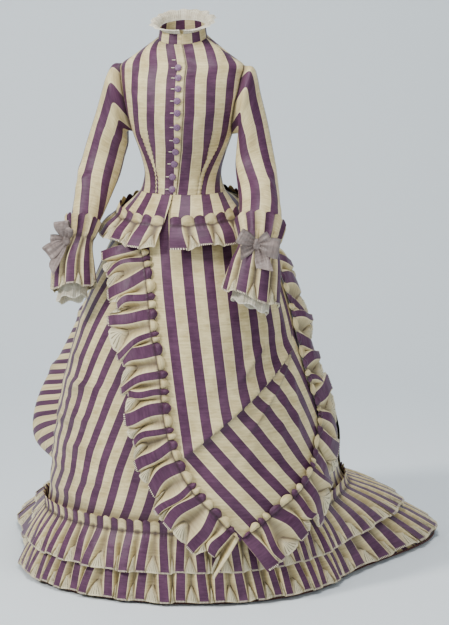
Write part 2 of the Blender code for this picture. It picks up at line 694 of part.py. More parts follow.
def make_bow(side, word, bow):
    facing = math.radians(bow.facing)
    normal = np.array([math.sin(facing), -math.cos(facing), 0.0])
    up = np.array([0.0, 0.0, 1.0])
    axes = (np.cross(up, normal), normal, up)
    origin = np.array([bow.x * side, bow.y, bow.z])
    knot = knot_solid("cuff_bow_" + word, origin, axes)
    face_out(knot)
    for k, part in enumerate(bow.parts):
        make_part = loop_solid if part.puff else tail_solid
        piece = make_part(part, origin, axes, "ribbon_" + word + "_" + str(k))
        face_out(piece)
        piece.hide_render = True
        piece.display_type = "WIRE"
        join = knot.modifiers.new("join_" + str(k), "BOOLEAN")
        join.operation = "UNION"
        join.solver = "EXACT"
        join.object = piece


def make_skirt():
    for piece in SKIRT_PIECES:
        rows, normals = [], []
        for height in SKIRT_LEVELS:
            first = piece.start + gap_angle(skirt_point, piece.start, height)
            last = piece.end - gap_angle(skirt_point, piece.end, height)
            angles = np.linspace(first, last, piece.columns + 1)
            rows.append([skirt_point(a, height) for a in angles])
            normals.append([normal_at(skirt_point, a, height) for a in angles])
        sheet(piece.name, rows, CLOTH, PURPLE, normals=normals)


def covered_share(angle):
    """Share of a pleat's depth that is left where the apron covers it."""
    inside = eased(angle, COVERED_FROM - COVERED_EASE, COVERED_FROM)
    inside *= 1 - eased(angle, COVERED_TO, COVERED_TO + COVERED_EASE)
    return between(1.0, COVERED_SHARE, inside)


def make_flounces():
    for word, table, uncovered in (("lower", LOWER_FLOUNCE, True), ("upper", UPPER_FLOUNCE, False)):
        for piece in FLOUNCE_PIECES:
            rows = []
            for row in table:
                first = piece.start + gap_angle(skirt_point, piece.start, row.height, FRILL_HALF_GAP)
                last = piece.end - gap_angle(skirt_point, piece.end, row.height, FRILL_HALF_GAP)
                points = []
                for place, share in pleat_places(piece.waves):
                    angle = between(first, last, place)
                    depth = row.depth * (1.0 if uncovered else covered_share(angle))
                    points.append(outward(skirt_point, angle, row.height, row.out + depth * share))
                rows.append(points)
            sheet("flounce_" + word + "_" + piece.name, rows, FRILL_CLOTH, PURPLE)


def along_line(line, share):
    """A place on a line of angles and heights, at a share of its length."""
    angles, heights = [row.angle for row in line], [row.height for row in line]
    flat = np.array([np.array(angles) * METRES_PER_DEGREE, heights])
    steps = np.concatenate([[0], np.cumsum(np.linalg.norm(np.diff(flat, axis=1), axis=0))])
    keys = steps / steps[-1]
    places = [share]
    if 0.0 < share < 1.0:
        places = [min(max(share + offset, 0.0), 1.0) for offset in (-LINE_SMOOTHING, 0.0, LINE_SMOOTHING)]
    return [np.mean(np.interp(places, keys, angles)), np.mean(np.interp(places, keys, heights))]


def apron_out(angle, height):
    """How far the apron stands off the skirt: a little at the top, and clear of the flounces below."""
    out = between(APRON_LOW_OUT, APRON_OUT, eased(height, *APRON_RISE))
    out += APRON_SLACK * eased(height, APRON_SLACK_FROM, APRON_SLACK_TO)
    return between(out, APRON_TOP_OUT, eased(height, APRON_SLACK_FROM, APRON_TOP))


def fold_lift(angle, height):
    lift = 0.0
    for fold in APRON_FOLDS:
        start = np.array([fold.angle * METRES_PER_DEGREE, fold.height])
        end = np.array([fold.end_angle * METRES_PER_DEGREE, fold.end_height])
        here = np.array([angle * METRES_PER_DEGREE, height])
        run = end - start
        t = min(max(float(np.dot(here - start, run) / np.dot(run, run)), 0.0), 1.0)
        away = np.linalg.norm(here - start - run * t)
        lift += fold.lift * math.exp(-((away / fold.width) ** 2)) * (1 - FOLD_THINNING * t)
    return lift


def make_apron():
    right = APRON_EDGE_RIGHT + APRON_TOP_RIGHT
    left = APRON_EDGE_LEFT + APRON_TOP_LEFT
    rows = []
    for t in APRON_SHARES:
        first, last = along_line(right, t), along_line(left, t)
        points = []
        for j in range(APRON_COLUMNS + 1):
            s = j / APRON_COLUMNS
            angle, height = between(first[0], last[0], s), between(first[1], last[1], s)
            inside = 4 * s * (1 - s)
            height -= APRON_SAG * inside * (1 - t)
            lift = fold_lift(angle, height) * min(1.0, inside * FOLD_FADE)
            points.append(outward(skirt_point, angle, height, apron_out(angle, height) + lift))
        rows.append(points)
    sheet("apron", rows, CLOTH, PURPLE)


def frill_points(line):
    """Rows of a gathered strip along a line on the apron. The frill lies to the right of the line's run."""
    rows = [[] for _ in APRON_FRILL]
    for place, share in pleat_places(APRON_FRILL_WAVES):
        angle, height = along_line(line, place)
        before = along_line(line, max(place - RUN_SHARE, 0))
        after = along_line(line, min(place + RUN_SHARE, 1))
        across = skirt_point(angle + DEGREE_STEP, height) - skirt_point(angle - DEGREE_STEP, height)
        upwards = skirt_point(angle, height + RUN_HEIGHT) - skirt_point(angle, height - RUN_HEIGHT)
        per_degree, per_metre = np.linalg.norm(across), np.linalg.norm(upwards) / (2 * RUN_HEIGHT)
        run = np.array([(after[0] - before[0]) * per_degree, (after[1] - before[1]) * per_metre])
        run /= np.linalg.norm(run)
        aside = np.array([run[1], -run[0]])
        base = apron_out(angle, height)
        pinch = min(1.0, HEADING_PINCH + HEADING_EASE * min(place, 1 - place))
        for row, points in zip(APRON_FRILL, rows):
            reach = row.aside * (pinch if row.aside < 0 else 1.0)
            a = angle + aside[0] * reach / per_degree
            h = height + aside[1] * reach / per_metre
            points.append(outward(skirt_point, a, max(h, FRILL_LOWEST), base + row.out + row.depth * share))
    return rows


def make_apron_frills():
    sheet("apron_frill_right", frill_points(APRON_EDGE_RIGHT[::-1]), FRILL_CLOTH, PURPLE)
    sheet("apron_frill_left", frill_points(APRON_EDGE_LEFT), FRILL_CLOTH, PURPLE)


def peplum_gather(angle):
    """Height of the line at which the peplum's frill is gathered on: higher at the back."""
    return between(PEPLUM_GATHER_FRONT, PEPLUM_GATHER_BACK, back_share(angle))


def peplum_point(angle, share):
    """A point of the peplum, from the frill's line at 0 to the waist seam at 1."""
    if share >= 1:
        return torso_point(angle, WAIST_SEAM) - np.array([0, 0, LAYER_GAP])
    height = between(peplum_gather(angle), PEPLUM_TOP, share)
    return outward(skirt_point, angle, height, between(PEPLUM_OUT_EDGE, PEPLUM_OUT_TOP, share))


def peplum_ends(piece, height, seam_turn):
    """Angles of a peplum piece's two edges. The front opening widens downwards from the waist."""
    opening = PEPLUM_OPENING_TOP + PEPLUM_OPENING_SLOPE * (WAIST_SEAM - height)
    first = opening if piece.start is None else piece.start + seam_turn
    last = -opening if piece.end is None else piece.end - seam_turn
    return first, last


def make_peplum():
    seam = PEPLUM_PIECES[0].start
    turn = gap_angle(torso_point, seam, WAIST_SEAM)
    for piece in PEPLUM_PIECES:
        rows = []
        for share in PEPLUM_SHARES:
            first, last = peplum_ends(piece, between(PEPLUM_GATHER_FRONT, WAIST_SEAM, share), turn)
            rows.append([peplum_point(a, share) for a in np.linspace(first, last, piece.columns + 1)])
        sheet("peplum_" + piece.name, rows, CLOTH, PURPLE)
        rows = []
        for row in PEPLUM_FRILL:
            height = PEPLUM_GATHER_FRONT + row.height
            frill_turn = gap_angle(skirt_point, seam, height, FRILL_HALF_GAP)
            first, last = peplum_ends(piece, height, frill_turn)
            points = []
            for place, share in pleat_places(piece.waves):
                angle = between(first, last, place)
                level = peplum_gather(angle) + row.height
                points.append(outward(skirt_point, angle, level, row.out + row.depth * share))
            rows.append(points)
        sheet("peplum_frill_" + piece.name.replace("front_", ""), rows, FRILL_CLOTH, PURPLE)


def make_back_drape():
    rows = []
    for row in BACK_DRAPE:
        points = []
        for j in range(DRAPE_COLUMNS + 1):
            s = j / DRAPE_COLUMNS
            angle = between(DRAPE_START, DRAPE_END, s)
            ease = eased(angle, DRAPE_START, DRAPE_START + DRAPE_EASE_START)
            ease *= 1 - eased(angle, DRAPE_END - DRAPE_EASE_END, DRAPE_END)
            fold = DRAPE_FOLD_DEPTH * (0.5 - 0.5 * math.cos(2 * math.pi * DRAPE_FOLDS * s))
            full = max(row.out - DRAPE_EDGE_OUT, 0.0)
            out = min(DRAPE_EDGE_OUT, row.out) + (full + fold * min(1.0, full / DRAPE_FULL)) * ease
            points.append(outward(skirt_point, angle, row.height, out))
        rows.append(points)
    sheet("back_drape", rows, CLOTH, PURPLE)


def make_buttons():
    for number, button in enumerate(BUTTONS, start=1):
        normal = normal_at(torso_point, button.angle, button.height)
        centre = flat_point(button.angle, button.height) + normal * BUTTON_GAP
        right = np.cross(np.array([0.0, 0.0, 1.0]), normal)
        right /= np.linalg.norm(right)
        up = np.cross(normal, right)
        points, faces = [], []
        for share, lift in BUTTON_PROFILE:
            for k in range(BUTTON_SIDES):
                t = 2 * math.pi * k / BUTTON_SIDES
                reach = BUTTON_RADIUS * share
                points.append(centre + normal * lift + (right * math.cos(t) + up * math.sin(t)) * reach)
        rings = len(BUTTON_PROFILE)
        for i in range(rings - 1):
            for k in range(BUTTON_SIDES):
                n = (k + 1) % BUTTON_SIDES
                a, b = i * BUTTON_SIDES, (i + 1) * BUTTON_SIDES
                faces.append((a + k, a + n, b + n, b + k))
        faces.append(tuple(range(BUTTON_SIDES))[::-1])
        points.append(centre + normal * BUTTON_TOP)
        top = (rings - 1) * BUTTON_SIDES
        for k in range(BUTTON_SIDES):
            faces.append((top + k, top + (k + 1) % BUTTON_SIDES, len(points) - 1))
        solid_from("button_%02d" % number, points, faces, PURPLE)


def main():
    start_empty()
    make_bodice()
    make_collar()
    make_neck_frill()
    make_sleeve(-1, "right", SLEEVE_RIGHT)
    make_sleeve(1, "left", SLEEVE_LEFT)
    make_cuff(-1, "right", CUFF_RIGHT, LACE_RIGHT)
    make_cuff(1, "left", CUFF_LEFT, LACE_LEFT)
    make_bow(-1, "right", BOW_RIGHT)
    make_bow(1, "left", BOW_LEFT)
    make_buttons()
    make_peplum()
    make_skirt()
    make_flounces()
    make_apron()
    make_apron_frills()
    make_back_drape()


main()
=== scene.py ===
import math

import bpy
import numpy as np
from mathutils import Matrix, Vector


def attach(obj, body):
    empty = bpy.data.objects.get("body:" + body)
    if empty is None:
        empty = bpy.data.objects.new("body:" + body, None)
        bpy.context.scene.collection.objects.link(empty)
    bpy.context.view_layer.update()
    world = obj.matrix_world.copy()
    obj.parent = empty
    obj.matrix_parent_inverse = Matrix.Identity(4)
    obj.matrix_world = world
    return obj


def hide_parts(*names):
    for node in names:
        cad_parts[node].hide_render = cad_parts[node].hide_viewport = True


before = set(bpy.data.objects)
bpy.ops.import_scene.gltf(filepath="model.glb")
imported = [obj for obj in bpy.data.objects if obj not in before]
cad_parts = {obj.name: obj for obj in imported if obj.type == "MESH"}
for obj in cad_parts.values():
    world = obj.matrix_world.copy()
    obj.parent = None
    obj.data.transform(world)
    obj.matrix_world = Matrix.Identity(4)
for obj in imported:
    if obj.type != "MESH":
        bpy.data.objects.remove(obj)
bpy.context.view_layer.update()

# Striped silk visiting dress with bustle and train.
# Lengths in metres. Heights in the tables are above the floor; angles turn about the body,
# 0 at the front, 90 at the wearer's left side.
wearHeight = 1.25
stripe = {"period": 0.050, "purple": 0.47}

skirtTable = np.array([  # height, front, side, back, flare
    [0.000, 0.325, 0.396, 0.870, 0.274],
    [0.080, 0.315, 0.366, 0.752, 0.180],
    [0.180, 0.300, 0.340, 0.618, 0.060],
    [0.320, 0.282, 0.324, 0.565, 0.060],
    [0.480, 0.256, 0.297, 0.505, 0.032],
    [0.640, 0.220, 0.254, 0.455, 0.012],
    [0.760, 0.184, 0.208, 0.395, 0.005],
    [0.840, 0.152, 0.170, 0.320, 0.0],
    [0.890, 0.125, 0.138, 0.225, 0.0],
    [0.925, 0.100, 0.109, 0.125, 0.0],
    [0.940, 0.0950, 0.1035, 0.0860, 0.0],
    [0.955, 0.0920, 0.0998, 0.0745, 0.0],
])
train = {"spreadFrom": 86.0, "spreadTo": 130.0, "squareness": 0.95}

torsoTable = np.array([  # height, front, side, back, drop
    [0.940, 0.098, 0.108, 0.084, 0.0],
    [0.965, 0.092, 0.098, 0.078, 0.0],
    [0.995, 0.090, 0.094, 0.076, 0.0],
    [1.040, 0.098, 0.105, 0.082, 0.0],
    [1.090, 0.112, 0.123, 0.092, 0.0],
    [1.140, 0.118, 0.138, 0.100, 0.0],
    [1.190, 0.108, 0.149, 0.102, 0.0],
    [1.230, 0.092, 0.154, 0.096, 0.0],
    [1.253, 0.080, 0.151, 0.086, 0.0],
    [1.272, 0.071, 0.124, 0.074, 0.004],
    [1.295, 0.063, 0.092, 0.062, 0.008],
    [1.318, 0.056, 0.060, 0.052, 0.014],
])


def tableAt(rows, keys):  # smooth curve through a table, read at many heights at once
    keys = np.asarray(keys, float)
    i = np.clip(np.searchsorted(rows[:, 0], keys) - 1, 0, len(rows) - 2)
    low, high = rows[i], rows[i + 1]
    before, after = rows[np.maximum(i - 1, 0)], rows[np.minimum(i + 2, len(rows) - 1)]
    span = high[..., :1] - low[..., :1]
    t = (keys[..., None] - low[..., :1]) / span
    leave = (high - before) / (high[..., :1] - before[..., :1]) * span
    arrive = (after - low) / (after[..., :1] - low[..., :1]) * span
    values = (2 * t**3 - 3 * t**2 + 1) * low + (t**3 - 2 * t**2 + t) * leave
    values += (3 * t**2 - 2 * t**3) * high + (t**3 - t**2) * arrive
    return np.moveaxis(values, -1, 0)


def eased(value, low, high):
    t = np.clip((value - low) / (high - low), 0.0, 1.0)
    return t * t * (3 - 2 * t)


def between(low, high, share):
    return low + (high - low) * share


def skirtPoint(angle, height):
    angle, height = np.broadcast_arrays(np.asarray(angle, float), np.asarray(height, float))
    _, front, side, back, flare = tableAt(skirtTable, height)
    turn = np.radians(angle)
    s, c = np.sin(turn), np.cos(turn)
    fromFront = np.abs((angle + 180) % 360 - 180)
    width = side + flare * eased(fromFront, train["spreadFrom"], train["spreadTo"])
    power = between(1.0, train["squareness"], np.minimum(1.0, flare / 0.2))
    x = np.where(c >= 0, width * s, np.sign(s) * np.abs(s) ** power * width)
    y = np.where(c >= 0, -front * c, -back * c)
    return np.stack([x, y, height], axis=-1)


def torsoPoint(angle, height):
    angle, height = np.broadcast_arrays(np.asarray(angle, float), np.asarray(height, float))
    _, front, side, back, drop = tableAt(torsoTable, height)
    turn = np.radians(angle)
    s, c = np.sin(turn), np.cos(turn)
    return np.stack([side * s, -np.where(c >= 0, front, back) * c, height - drop * c], axis=-1)


def mound(value, width):  # a soft rise of height 1 about zero
    return np.exp(-((value / width) ** 2))


def lengthAlong(points):
    return np.concatenate([[0], np.cumsum(np.linalg.norm(np.diff(points, axis=0), axis=1))])


def outward(surface, angle, height, out):  # a point moved off its surface along the normal
    across = surface(angle + 0.5, height) - surface(angle - 0.5, height)
    up = surface(angle, height + 0.002) - surface(angle, height - 0.002)
    normal = np.cross(across, up)
    normal /= np.linalg.norm(normal, axis=-1, keepdims=True)
    return surface(angle, height) + normal * np.asarray(out)[..., None]


def arcTable(surface, low, high):  # length round the form from the front, for every level
    heights = np.linspace(low, high, 60)
    angles = np.arange(-200.0, 321.0, 2.0)
    a, h = np.meshgrid(angles, heights)
    points = surface(a, h)
    lengths = np.cumsum(np.linalg.norm(np.diff(points, axis=1), axis=2), axis=1)
    lengths = np.concatenate([np.zeros((len(heights), 1)), lengths], axis=1)
    zero = int(np.argmin(np.abs(angles)))
    return heights, angles, lengths - lengths[:, zero:zero + 1]


def arcFrom(table, angle, height):
    heights, angles, lengths = table
    row = np.clip((height - heights[0]) / (heights[1] - heights[0]), 0, len(heights) - 1.001)
    column = np.clip((angle - angles[0]) / (angles[1] - angles[0]), 0, len(angles) - 1.001)
    i, j = row.astype(int), column.astype(int)
    p, q = row - i, column - j
    low = lengths[i, j] * (1 - q) + lengths[i, j + 1] * q
    high = lengths[i + 1, j] * (1 - q) + lengths[i + 1, j + 1] * q
    return low * (1 - p) + high * p


skirtArcs = arcTable(skirtPoint, 0.0, 0.95)
torsoArcs = arcTable(torsoPoint, 0.942, 1.316)


def creaseLift(across, along, creases):  # soft ridges and troughs: two ends, lift and half width
    lift = np.zeros_like(across)
    for crease in creases:
        x0, y0, x1, y1, rise, width = crease
        run = np.array([x1 - x0, y1 - y0])
        t = np.clip(((across - x0) * run[0] + (along - y0) * run[1]) / (run @ run), 0.0, 1.0)
        away = np.hypot(across - x0 - run[0] * t, along - y0 - run[1] * t)
        lift = lift + rise * mound(away, width) * (1 - 0.6 * np.abs(2 * t - 1) ** 3)
    return lift


# Materials
def mathNode(tree, operation, a, b=None):
    node = tree.nodes.new("ShaderNodeMath")
    node.operation = operation
    for socket, value in zip(node.inputs, (a, b)):
        if isinstance(value, (int, float)):
            socket.default_value = value
        elif value is not None:
            tree.links.new(value, socket)
    return node.outputs[0]


def timesNode(tree, a, b):
    return mathNode(tree, "MULTIPLY", a, b)


def plusNode(tree, a, b):
    return mathNode(tree, "ADD", a, b)


def minusNode(tree, a, b):
    return mathNode(tree, "SUBTRACT", a, b)


def sizeNode(tree, a):
    return mathNode(tree, "ABSOLUTE", a)


def rampNode(tree, value, low, high, toLow=0.0, toHigh=1.0):
    node = tree.nodes.new("ShaderNodeMapRange")
    node.interpolation_type = "SMOOTHSTEP"
    for key, number in (("From Min", low), ("From Max", high), ("To Min", toLow), ("To Max", toHigh)):
        node.inputs[key].default_value = number
    tree.links.new(value, node.inputs["Value"])
    return node.outputs["Result"]


def mixNode(tree, factor, a, b, blend="MIX"):
    node = tree.nodes.new("ShaderNodeMix")
    node.data_type, node.blend_type = "RGBA", blend
    for socket, value in ((node.inputs[0], factor), (node.inputs[6], a), (node.inputs[7], b)):
        if isinstance(value, (int, float)):
            socket.default_value = value
        elif isinstance(value, tuple):
            socket.default_value = (*value, 1.0)
        else:
            tree.links.new(value, socket)
    return node.outputs[2]


def noiseNode(tree, vector, scale, detail=2.0, roughness=0.5):
    node = tree.nodes.new("ShaderNodeTexNoise")
    node.inputs["Scale"].default_value = scale
    node.inputs["Detail"].default_value = detail
    node.inputs["Roughness"].default_value = roughness
    tree.links.new(vector, node.inputs["Vector"])
    return node.outputs["Fac"]


def newGroup(name, inputs, outputs):
    group = bpy.data.node_groups.new(name, "ShaderNodeTree")
    for word in inputs:
        group.interface.new_socket(word, in_out="INPUT", socket_type="NodeSocketFloat")
    for word in outputs:
        group.interface.new_socket(word, in_out="OUTPUT", socket_type="NodeSocketFloat")
    return group, group.nodes.new("NodeGroupInput"), group.nodes.new("NodeGroupOutput")


def placeGroup(tree, group, **values):
    node = tree.nodes.new("ShaderNodeGroup")
    node.node_tree = group
    for key, value in values.items():
        if isinstance(value, (int, float)):
            node.inputs[key].default_value = value
        else:
            tree.links.new(value, node.inputs[key])
    return node


def stripeBandsGroup():  # purple bands on a cream ground, with a pale thread along each edge
    group, start, end = newGroup("stripeBands", ["Across", "Period", "Purple share"], ["Purple", "Pale edge"])
    place = mathNode(group, "DIVIDE", start.outputs["Across"], start.outputs["Period"])
    half = timesNode(group, start.outputs["Purple share"], 0.5)
    place = minusNode(group, place, half)
    place = mathNode(group, "FRACT", plusNode(group, place, 0.5))
    away = sizeNode(group, minusNode(group, place, 0.5))
    past = minusNode(group, away, half)
    purple = rampNode(group, past, -0.008, 0.008, 1.0, 0.0)
    edge = sizeNode(group, minusNode(group, past, 0.022))
    edge = rampNode(group, edge, 0.010, 0.024, 1.0, 0.0)
    group.links.new(purple, end.inputs["Purple"])
    group.links.new(edge, end.inputs["Pale edge"])
    return group


def silkWeaveGroup():  # fine cross ribs with slubs, and the soft crumple of crisp taffeta; its Tone also carries painted light and shade over the crumple
    group, start, end = newGroup("silkWeave", ["Across", "Along"], ["Tone", "Height"])
    vector = group.nodes.new("ShaderNodeCombineXYZ")
    group.links.new(timesNode(group, start.outputs["Across"], 0.12), vector.inputs[0])
    group.links.new(start.outputs["Along"], vector.inputs[1])
    ribs = noiseNode(group, vector.outputs[0], 900.0, 2.0, 0.6)
    slubs = noiseNode(group, vector.outputs[0], 210.0, 1.0)
    place = group.nodes.new("ShaderNodeCombineXYZ")
    group.links.new(start.outputs["Across"], place.inputs[0])
    group.links.new(start.outputs["Along"], place.inputs[1])
    crumple = noiseNode(group, place.outputs[0], 26.0, 3.0, 0.55)
    tone = plusNode(group, timesNode(group, slubs, 0.30), timesNode(group, ribs, 0.25))
    tone = plusNode(group, tone, timesNode(group, crumple, 0.45))
    height = plusNode(group, timesNode(group, ribs, 0.10), timesNode(group, crumple, 0.90))
    group.links.new(tone, end.inputs["Tone"])
    group.links.new(height, end.inputs["Height"])
    return group


# The fan set into each groove at an edge: its middle and half width within one pleat, and its fine pleats
fan = {"middle": 0.725, "half": 0.215, "fine": 9.42}


def fanInsetGroup():  # fine pleats in a pointed slit above the hem, with a bound edge; its Pleats mask also carries painted shade between the pleats
    group, start, end = newGroup(
        "fanInset", ["Across", "Along", "Period", "Fan height"], ["Inside", "Binding", "Shadow", "Pleats", "Picot"])
    place = mathNode(group, "FRACT", mathNode(group, "DIVIDE", start.outputs["Across"], start.outputs["Period"]))
    aside = minusNode(group, place, fan["middle"])
    left = minusNode(group, 1.0, mathNode(group, "DIVIDE", start.outputs["Along"], start.outputs["Fan height"]))
    half = timesNode(group, mathNode(group, "MAXIMUM", left, 0.001), fan["half"])
    share = mathNode(group, "DIVIDE", aside, half)
    reach = sizeNode(group, share)
    opened = rampNode(group, left, 0.0, 0.04)
    inside = timesNode(group, rampNode(group, reach, 0.92, 1.0, 1.0, 0.0), opened)
    width = sizeNode(group, minusNode(group, sizeNode(group, aside), half))
    binding = timesNode(group, rampNode(group, width, 0.016, 0.034, 1.0, 0.0), opened)
    shadow = minusNode(group, sizeNode(group, aside), plusNode(group, half, 0.050))
    shadow = sizeNode(group, shadow)
    shadow = timesNode(group, rampNode(group, shadow, 0.012, 0.036, 1.0, 0.0), opened)
    pleats = sizeNode(group, mathNode(group, "SINE", timesNode(group, share, fan["fine"])))
    pleats = timesNode(group, rampNode(group, pleats, 0.10, 0.65, 1.0, 0.0), inside)
    tick = mathNode(group, "FRACT", timesNode(group, start.outputs["Across"], 300.0))
    threads = rampNode(group, tick, 0.45, 0.60)
    picot = timesNode(group, threads, rampNode(group, start.outputs["Along"], 0.003, 0.005, 1.0, 0.0))
    for word, socket in zip(end.inputs.keys(), (inside, binding, shadow, pleats, picot)):
        group.links.new(socket, end.inputs[word])
    return group


stripeBands = stripeBandsGroup()
silkWeave = silkWeaveGroup()
fanInset = fanInsetGroup()

silk = {
    # painted light and shade: purple and cream are the shaded copies, purpleLit and creamLit the lit copies of the two
    # colours
    "purple": (0.056, 0.016, 0.044), "purpleLit": (0.132, 0.050, 0.105),
    "cream": (0.500, 0.385, 0.175), "creamLit": (0.900, 0.770, 0.420), "paleEdge": (0.860, 0.760, 0.480),
    # fold is the painted shade colour laid in grooves, seams and under folds
    "fold": (0.045, 0.022, 0.030), "roughness": 0.48, "gloss": 0.32, "bump": 0.55,
}


def newLook(name):
    material = bpy.data.materials.new(name)
    material.use_nodes = True
    return material, material.node_tree, material.node_tree.nodes["Principled BSDF"]


def cutPlace(tree):  # the place on the flat cloth, from the piece's own map
    uv = tree.nodes.new("ShaderNodeUVMap")
    uv.uv_map = "cut"
    parts = tree.nodes.new("ShaderNodeSeparateXYZ")
    tree.links.new(uv.outputs[0], parts.inputs[0])
    return parts.outputs[0], parts.outputs[1]


def markNode(tree, name):  # a value that the mesh carries at each point
    node = tree.nodes.new("ShaderNodeAttribute")
    node.attribute_name = name
    return node.outputs["Fac"]


def shaded(tree, mask, strength, colour, over):  # one colour laid over another, as far as its mask says
    return mixNode(tree, timesNode(tree, mask, strength), colour, over)


def finishCloth(tree, shader, colour, height, strength, distance=0.002):
    tree.links.new(colour, shader.inputs["Base Color"])
    bump = tree.nodes.new("ShaderNodeBump")
    bump.inputs["Strength"].default_value = strength
    bump.inputs["Distance"].default_value = distance
    tree.links.new(height, bump.inputs["Height"])
    tree.links.new(bump.outputs[0], shader.inputs["Normal"])


def stripedLook(name, fanHeight=0.0, folded=False):
    material, tree, shader = newLook(name)
    across, along = cutPlace(tree)
    if folded:
        across = foldedAcross(tree)
    bands = placeGroup(tree, stripeBands, Across=across, Period=stripe["period"], **{"Purple share": stripe["purple"]})
    weave = placeGroup(tree, silkWeave, Across=across, Along=along)
    # painted light and shade: each colour goes from its shaded copy to its lit copy with the weave's tone, partly real
    # slub tone and partly the painted crumple
    tone = rampNode(tree, weave.outputs["Tone"], 0.30, 0.72)
    purple = mixNode(tree, tone, silk["purple"], silk["purpleLit"])
    cream = mixNode(tree, tone, silk["cream"], silk["creamLit"])
    colour = mixNode(tree, bands.outputs["Purple"], cream, purple)
    colour = shaded(tree, bands.outputs["Pale edge"], 0.55, colour, silk["paleEdge"])
    height = weave.outputs["Height"]
    if fanHeight:
        inset = placeGroup(tree, fanInset, Across=across, Along=along, Period=stripe["period"],
                           **{"Fan height": fanHeight}).outputs
        # painted shade: dark lines in the valleys of the fan's fine pleats
        pleated = shaded(tree, inset["Pleats"], 0.80, (0.76, 0.68, 0.45), (0.11, 0.08, 0.04))
        colour = shaded(tree, inset["Inside"], 0.95, colour, pleated)
        colour = shaded(tree, inset["Shadow"], 0.60, colour, (0.10, 0.07, 0.05))
        colour = shaded(tree, inset["Binding"], 0.85, colour, (0.80, 0.68, 0.40))
        colour = mixNode(tree, inset["Picot"], colour, (0.80, 0.72, 0.50))
        height = minusNode(tree, height, timesNode(tree, inset["Pleats"], 0.8))
        height = plusNode(tree, height, timesNode(tree, inset["Binding"], 0.8))
    colour = mixNode(tree, markNode(tree, "hollow"), colour, silk["fold"])  # painted shade: the fold colour laid over grooves, seams and the cloth under folds
    shader.inputs["Roughness"].default_value = silk["roughness"]
    shader.inputs["Specular IOR Level"].default_value = silk["gloss"]
    finishCloth(tree, shader, colour, height, silk["bump"], 0.003)
    return material


def foldedAcross(tree):  # the apron's stripes change their run at each fold
    side, above, below = (markNode(tree, word) for word in ("foldSide", "cutAbove", "cutBelow"))
    share = rampNode(tree, side, -0.0008, 0.0008)
    rest = minusNode(tree, 1.0, share)
    return plusNode(tree, timesNode(tree, below, rest), timesNode(tree, above, share))


def netLook(name):  # fine cream net, closely pleated
    material, tree, shader = newLook(name)
    across, along = cutPlace(tree)
    weave = placeGroup(tree, silkWeave, Across=across, Along=along)
    tone = rampNode(tree, weave.outputs["Tone"], 0.35, 0.65)
    colour = mixNode(tree, tone, (0.62, 0.55, 0.40), (0.86, 0.81, 0.66))
    # painted shade in the valleys between the net's fine pleats; the same mask also lowers the bump
    pleat = mathNode(tree, "FRACT", timesNode(tree, across, 260.0))
    pleat = sizeNode(tree, minusNode(tree, pleat, 0.5))
    groove = rampNode(tree, pleat, 0.06, 0.22, 1.0, 0.0)
    colour = shaded(tree, groove, 0.5, colour, (0.22, 0.18, 0.11))
    edge = rampNode(tree, along, 0.0025, 0.0045, 1.0, 0.0)
    colour = shaded(tree, edge, 0.8, colour, (0.86, 0.82, 0.68))
    height = minusNode(tree, weave.outputs["Height"], groove)
    shader.inputs["Roughness"].default_value = 0.75
    finishCloth(tree, shader, colour, height, 0.5)
    return material


def ribbonLook(name, dark, light, roughness):
    material, tree, shader = newLook(name)
    across, along = cutPlace(tree)
    weave = placeGroup(tree, silkWeave, Across=across, Along=along)
    tone = rampNode(tree, weave.outputs["Tone"], 0.30, 0.70)
    colour = mixNode(tree, tone, dark, light)
    shader.inputs["Roughness"].default_value = roughness
    shader.inputs["Sheen Weight"].default_value = 0.08
    finishCloth(tree, shader, colour, weave.outputs["Height"], 0.4)
    return material


def plainLook(name, scale, detail, dark, light, roughness):  # one finely mottled colour
    material, tree, shader = newLook(name)
    fine = noiseNode(tree, tree.nodes.new("ShaderNodeTexCoord").outputs["Object"], scale, detail)
    tree.links.new(mixNode(tree, fine, dark, light), shader.inputs["Base Color"])
    shader.inputs["Roughness"].default_value = roughness
    return material


looks = {
    "silk": stripedLook("stripedSilk"),
    "apron": stripedLook("stripedSilkFolded", folded=True),
    "flounce": stripedLook("stripedSilkFlounce", fanHeight=0.044),
    "frill": stripedLook("stripedSilkFrill", fanHeight=0.034),
    "net": netLook("creamNet"),
    "taupe": ribbonLook("taupeRibbon", (0.135, 0.100, 0.090), (0.300, 0.238, 0.215), 0.42),
}
print("materials made")


# Making the cloth
def objectFrom(name, points, faces, uv=None, look=None):
    mesh = bpy.data.meshes.new(name)
    mesh.from_pydata(points.tolist(), [], faces.tolist())
    if uv is not None:
        layer = mesh.uv_layers.new(name="cut")
        layer.data.foreach_set("uv", np.ascontiguousarray(uv, dtype=np.float32).reshape(-1))
    mesh.update()
    piece = bpy.data.objects.new(name, mesh)
    bpy.context.scene.collection.objects.link(piece)
    if look:
        mesh.materials.append(looks[look])
    return piece


def selectNothing():
    bpy.ops.object.select_all(action="DESELECT")


def selectOnly(piece):
    selectNothing()
    piece.select_set(True)
    bpy.context.view_layer.objects.active = piece


def giveWall(piece, wall):
    selectOnly(piece)
    solidify = piece.modifiers.new("wall", "SOLIDIFY")
    solidify.thickness, solidify.offset, solidify.use_rim = wall, -1.0, True
    bpy.ops.object.modifier_apply(modifier="wall")
    bpy.ops.object.shade_smooth_by_angle(angle=math.radians(70))


def gridFaces(rows, columns, closed):
    i, j = np.meshgrid(np.arange(rows - 1), np.arange(columns if closed else columns - 1), indexing="ij")
    ahead = (j + 1) % columns
    return np.stack([i * columns + j, i * columns + ahead, (i + 1) * columns + ahead, (i + 1) * columns + j], axis=-1)


walls = {"silk": 0.0006, "apron": 0.0006, "flounce": 0.0005, "frill": 0.0005, "net": 0.0004}


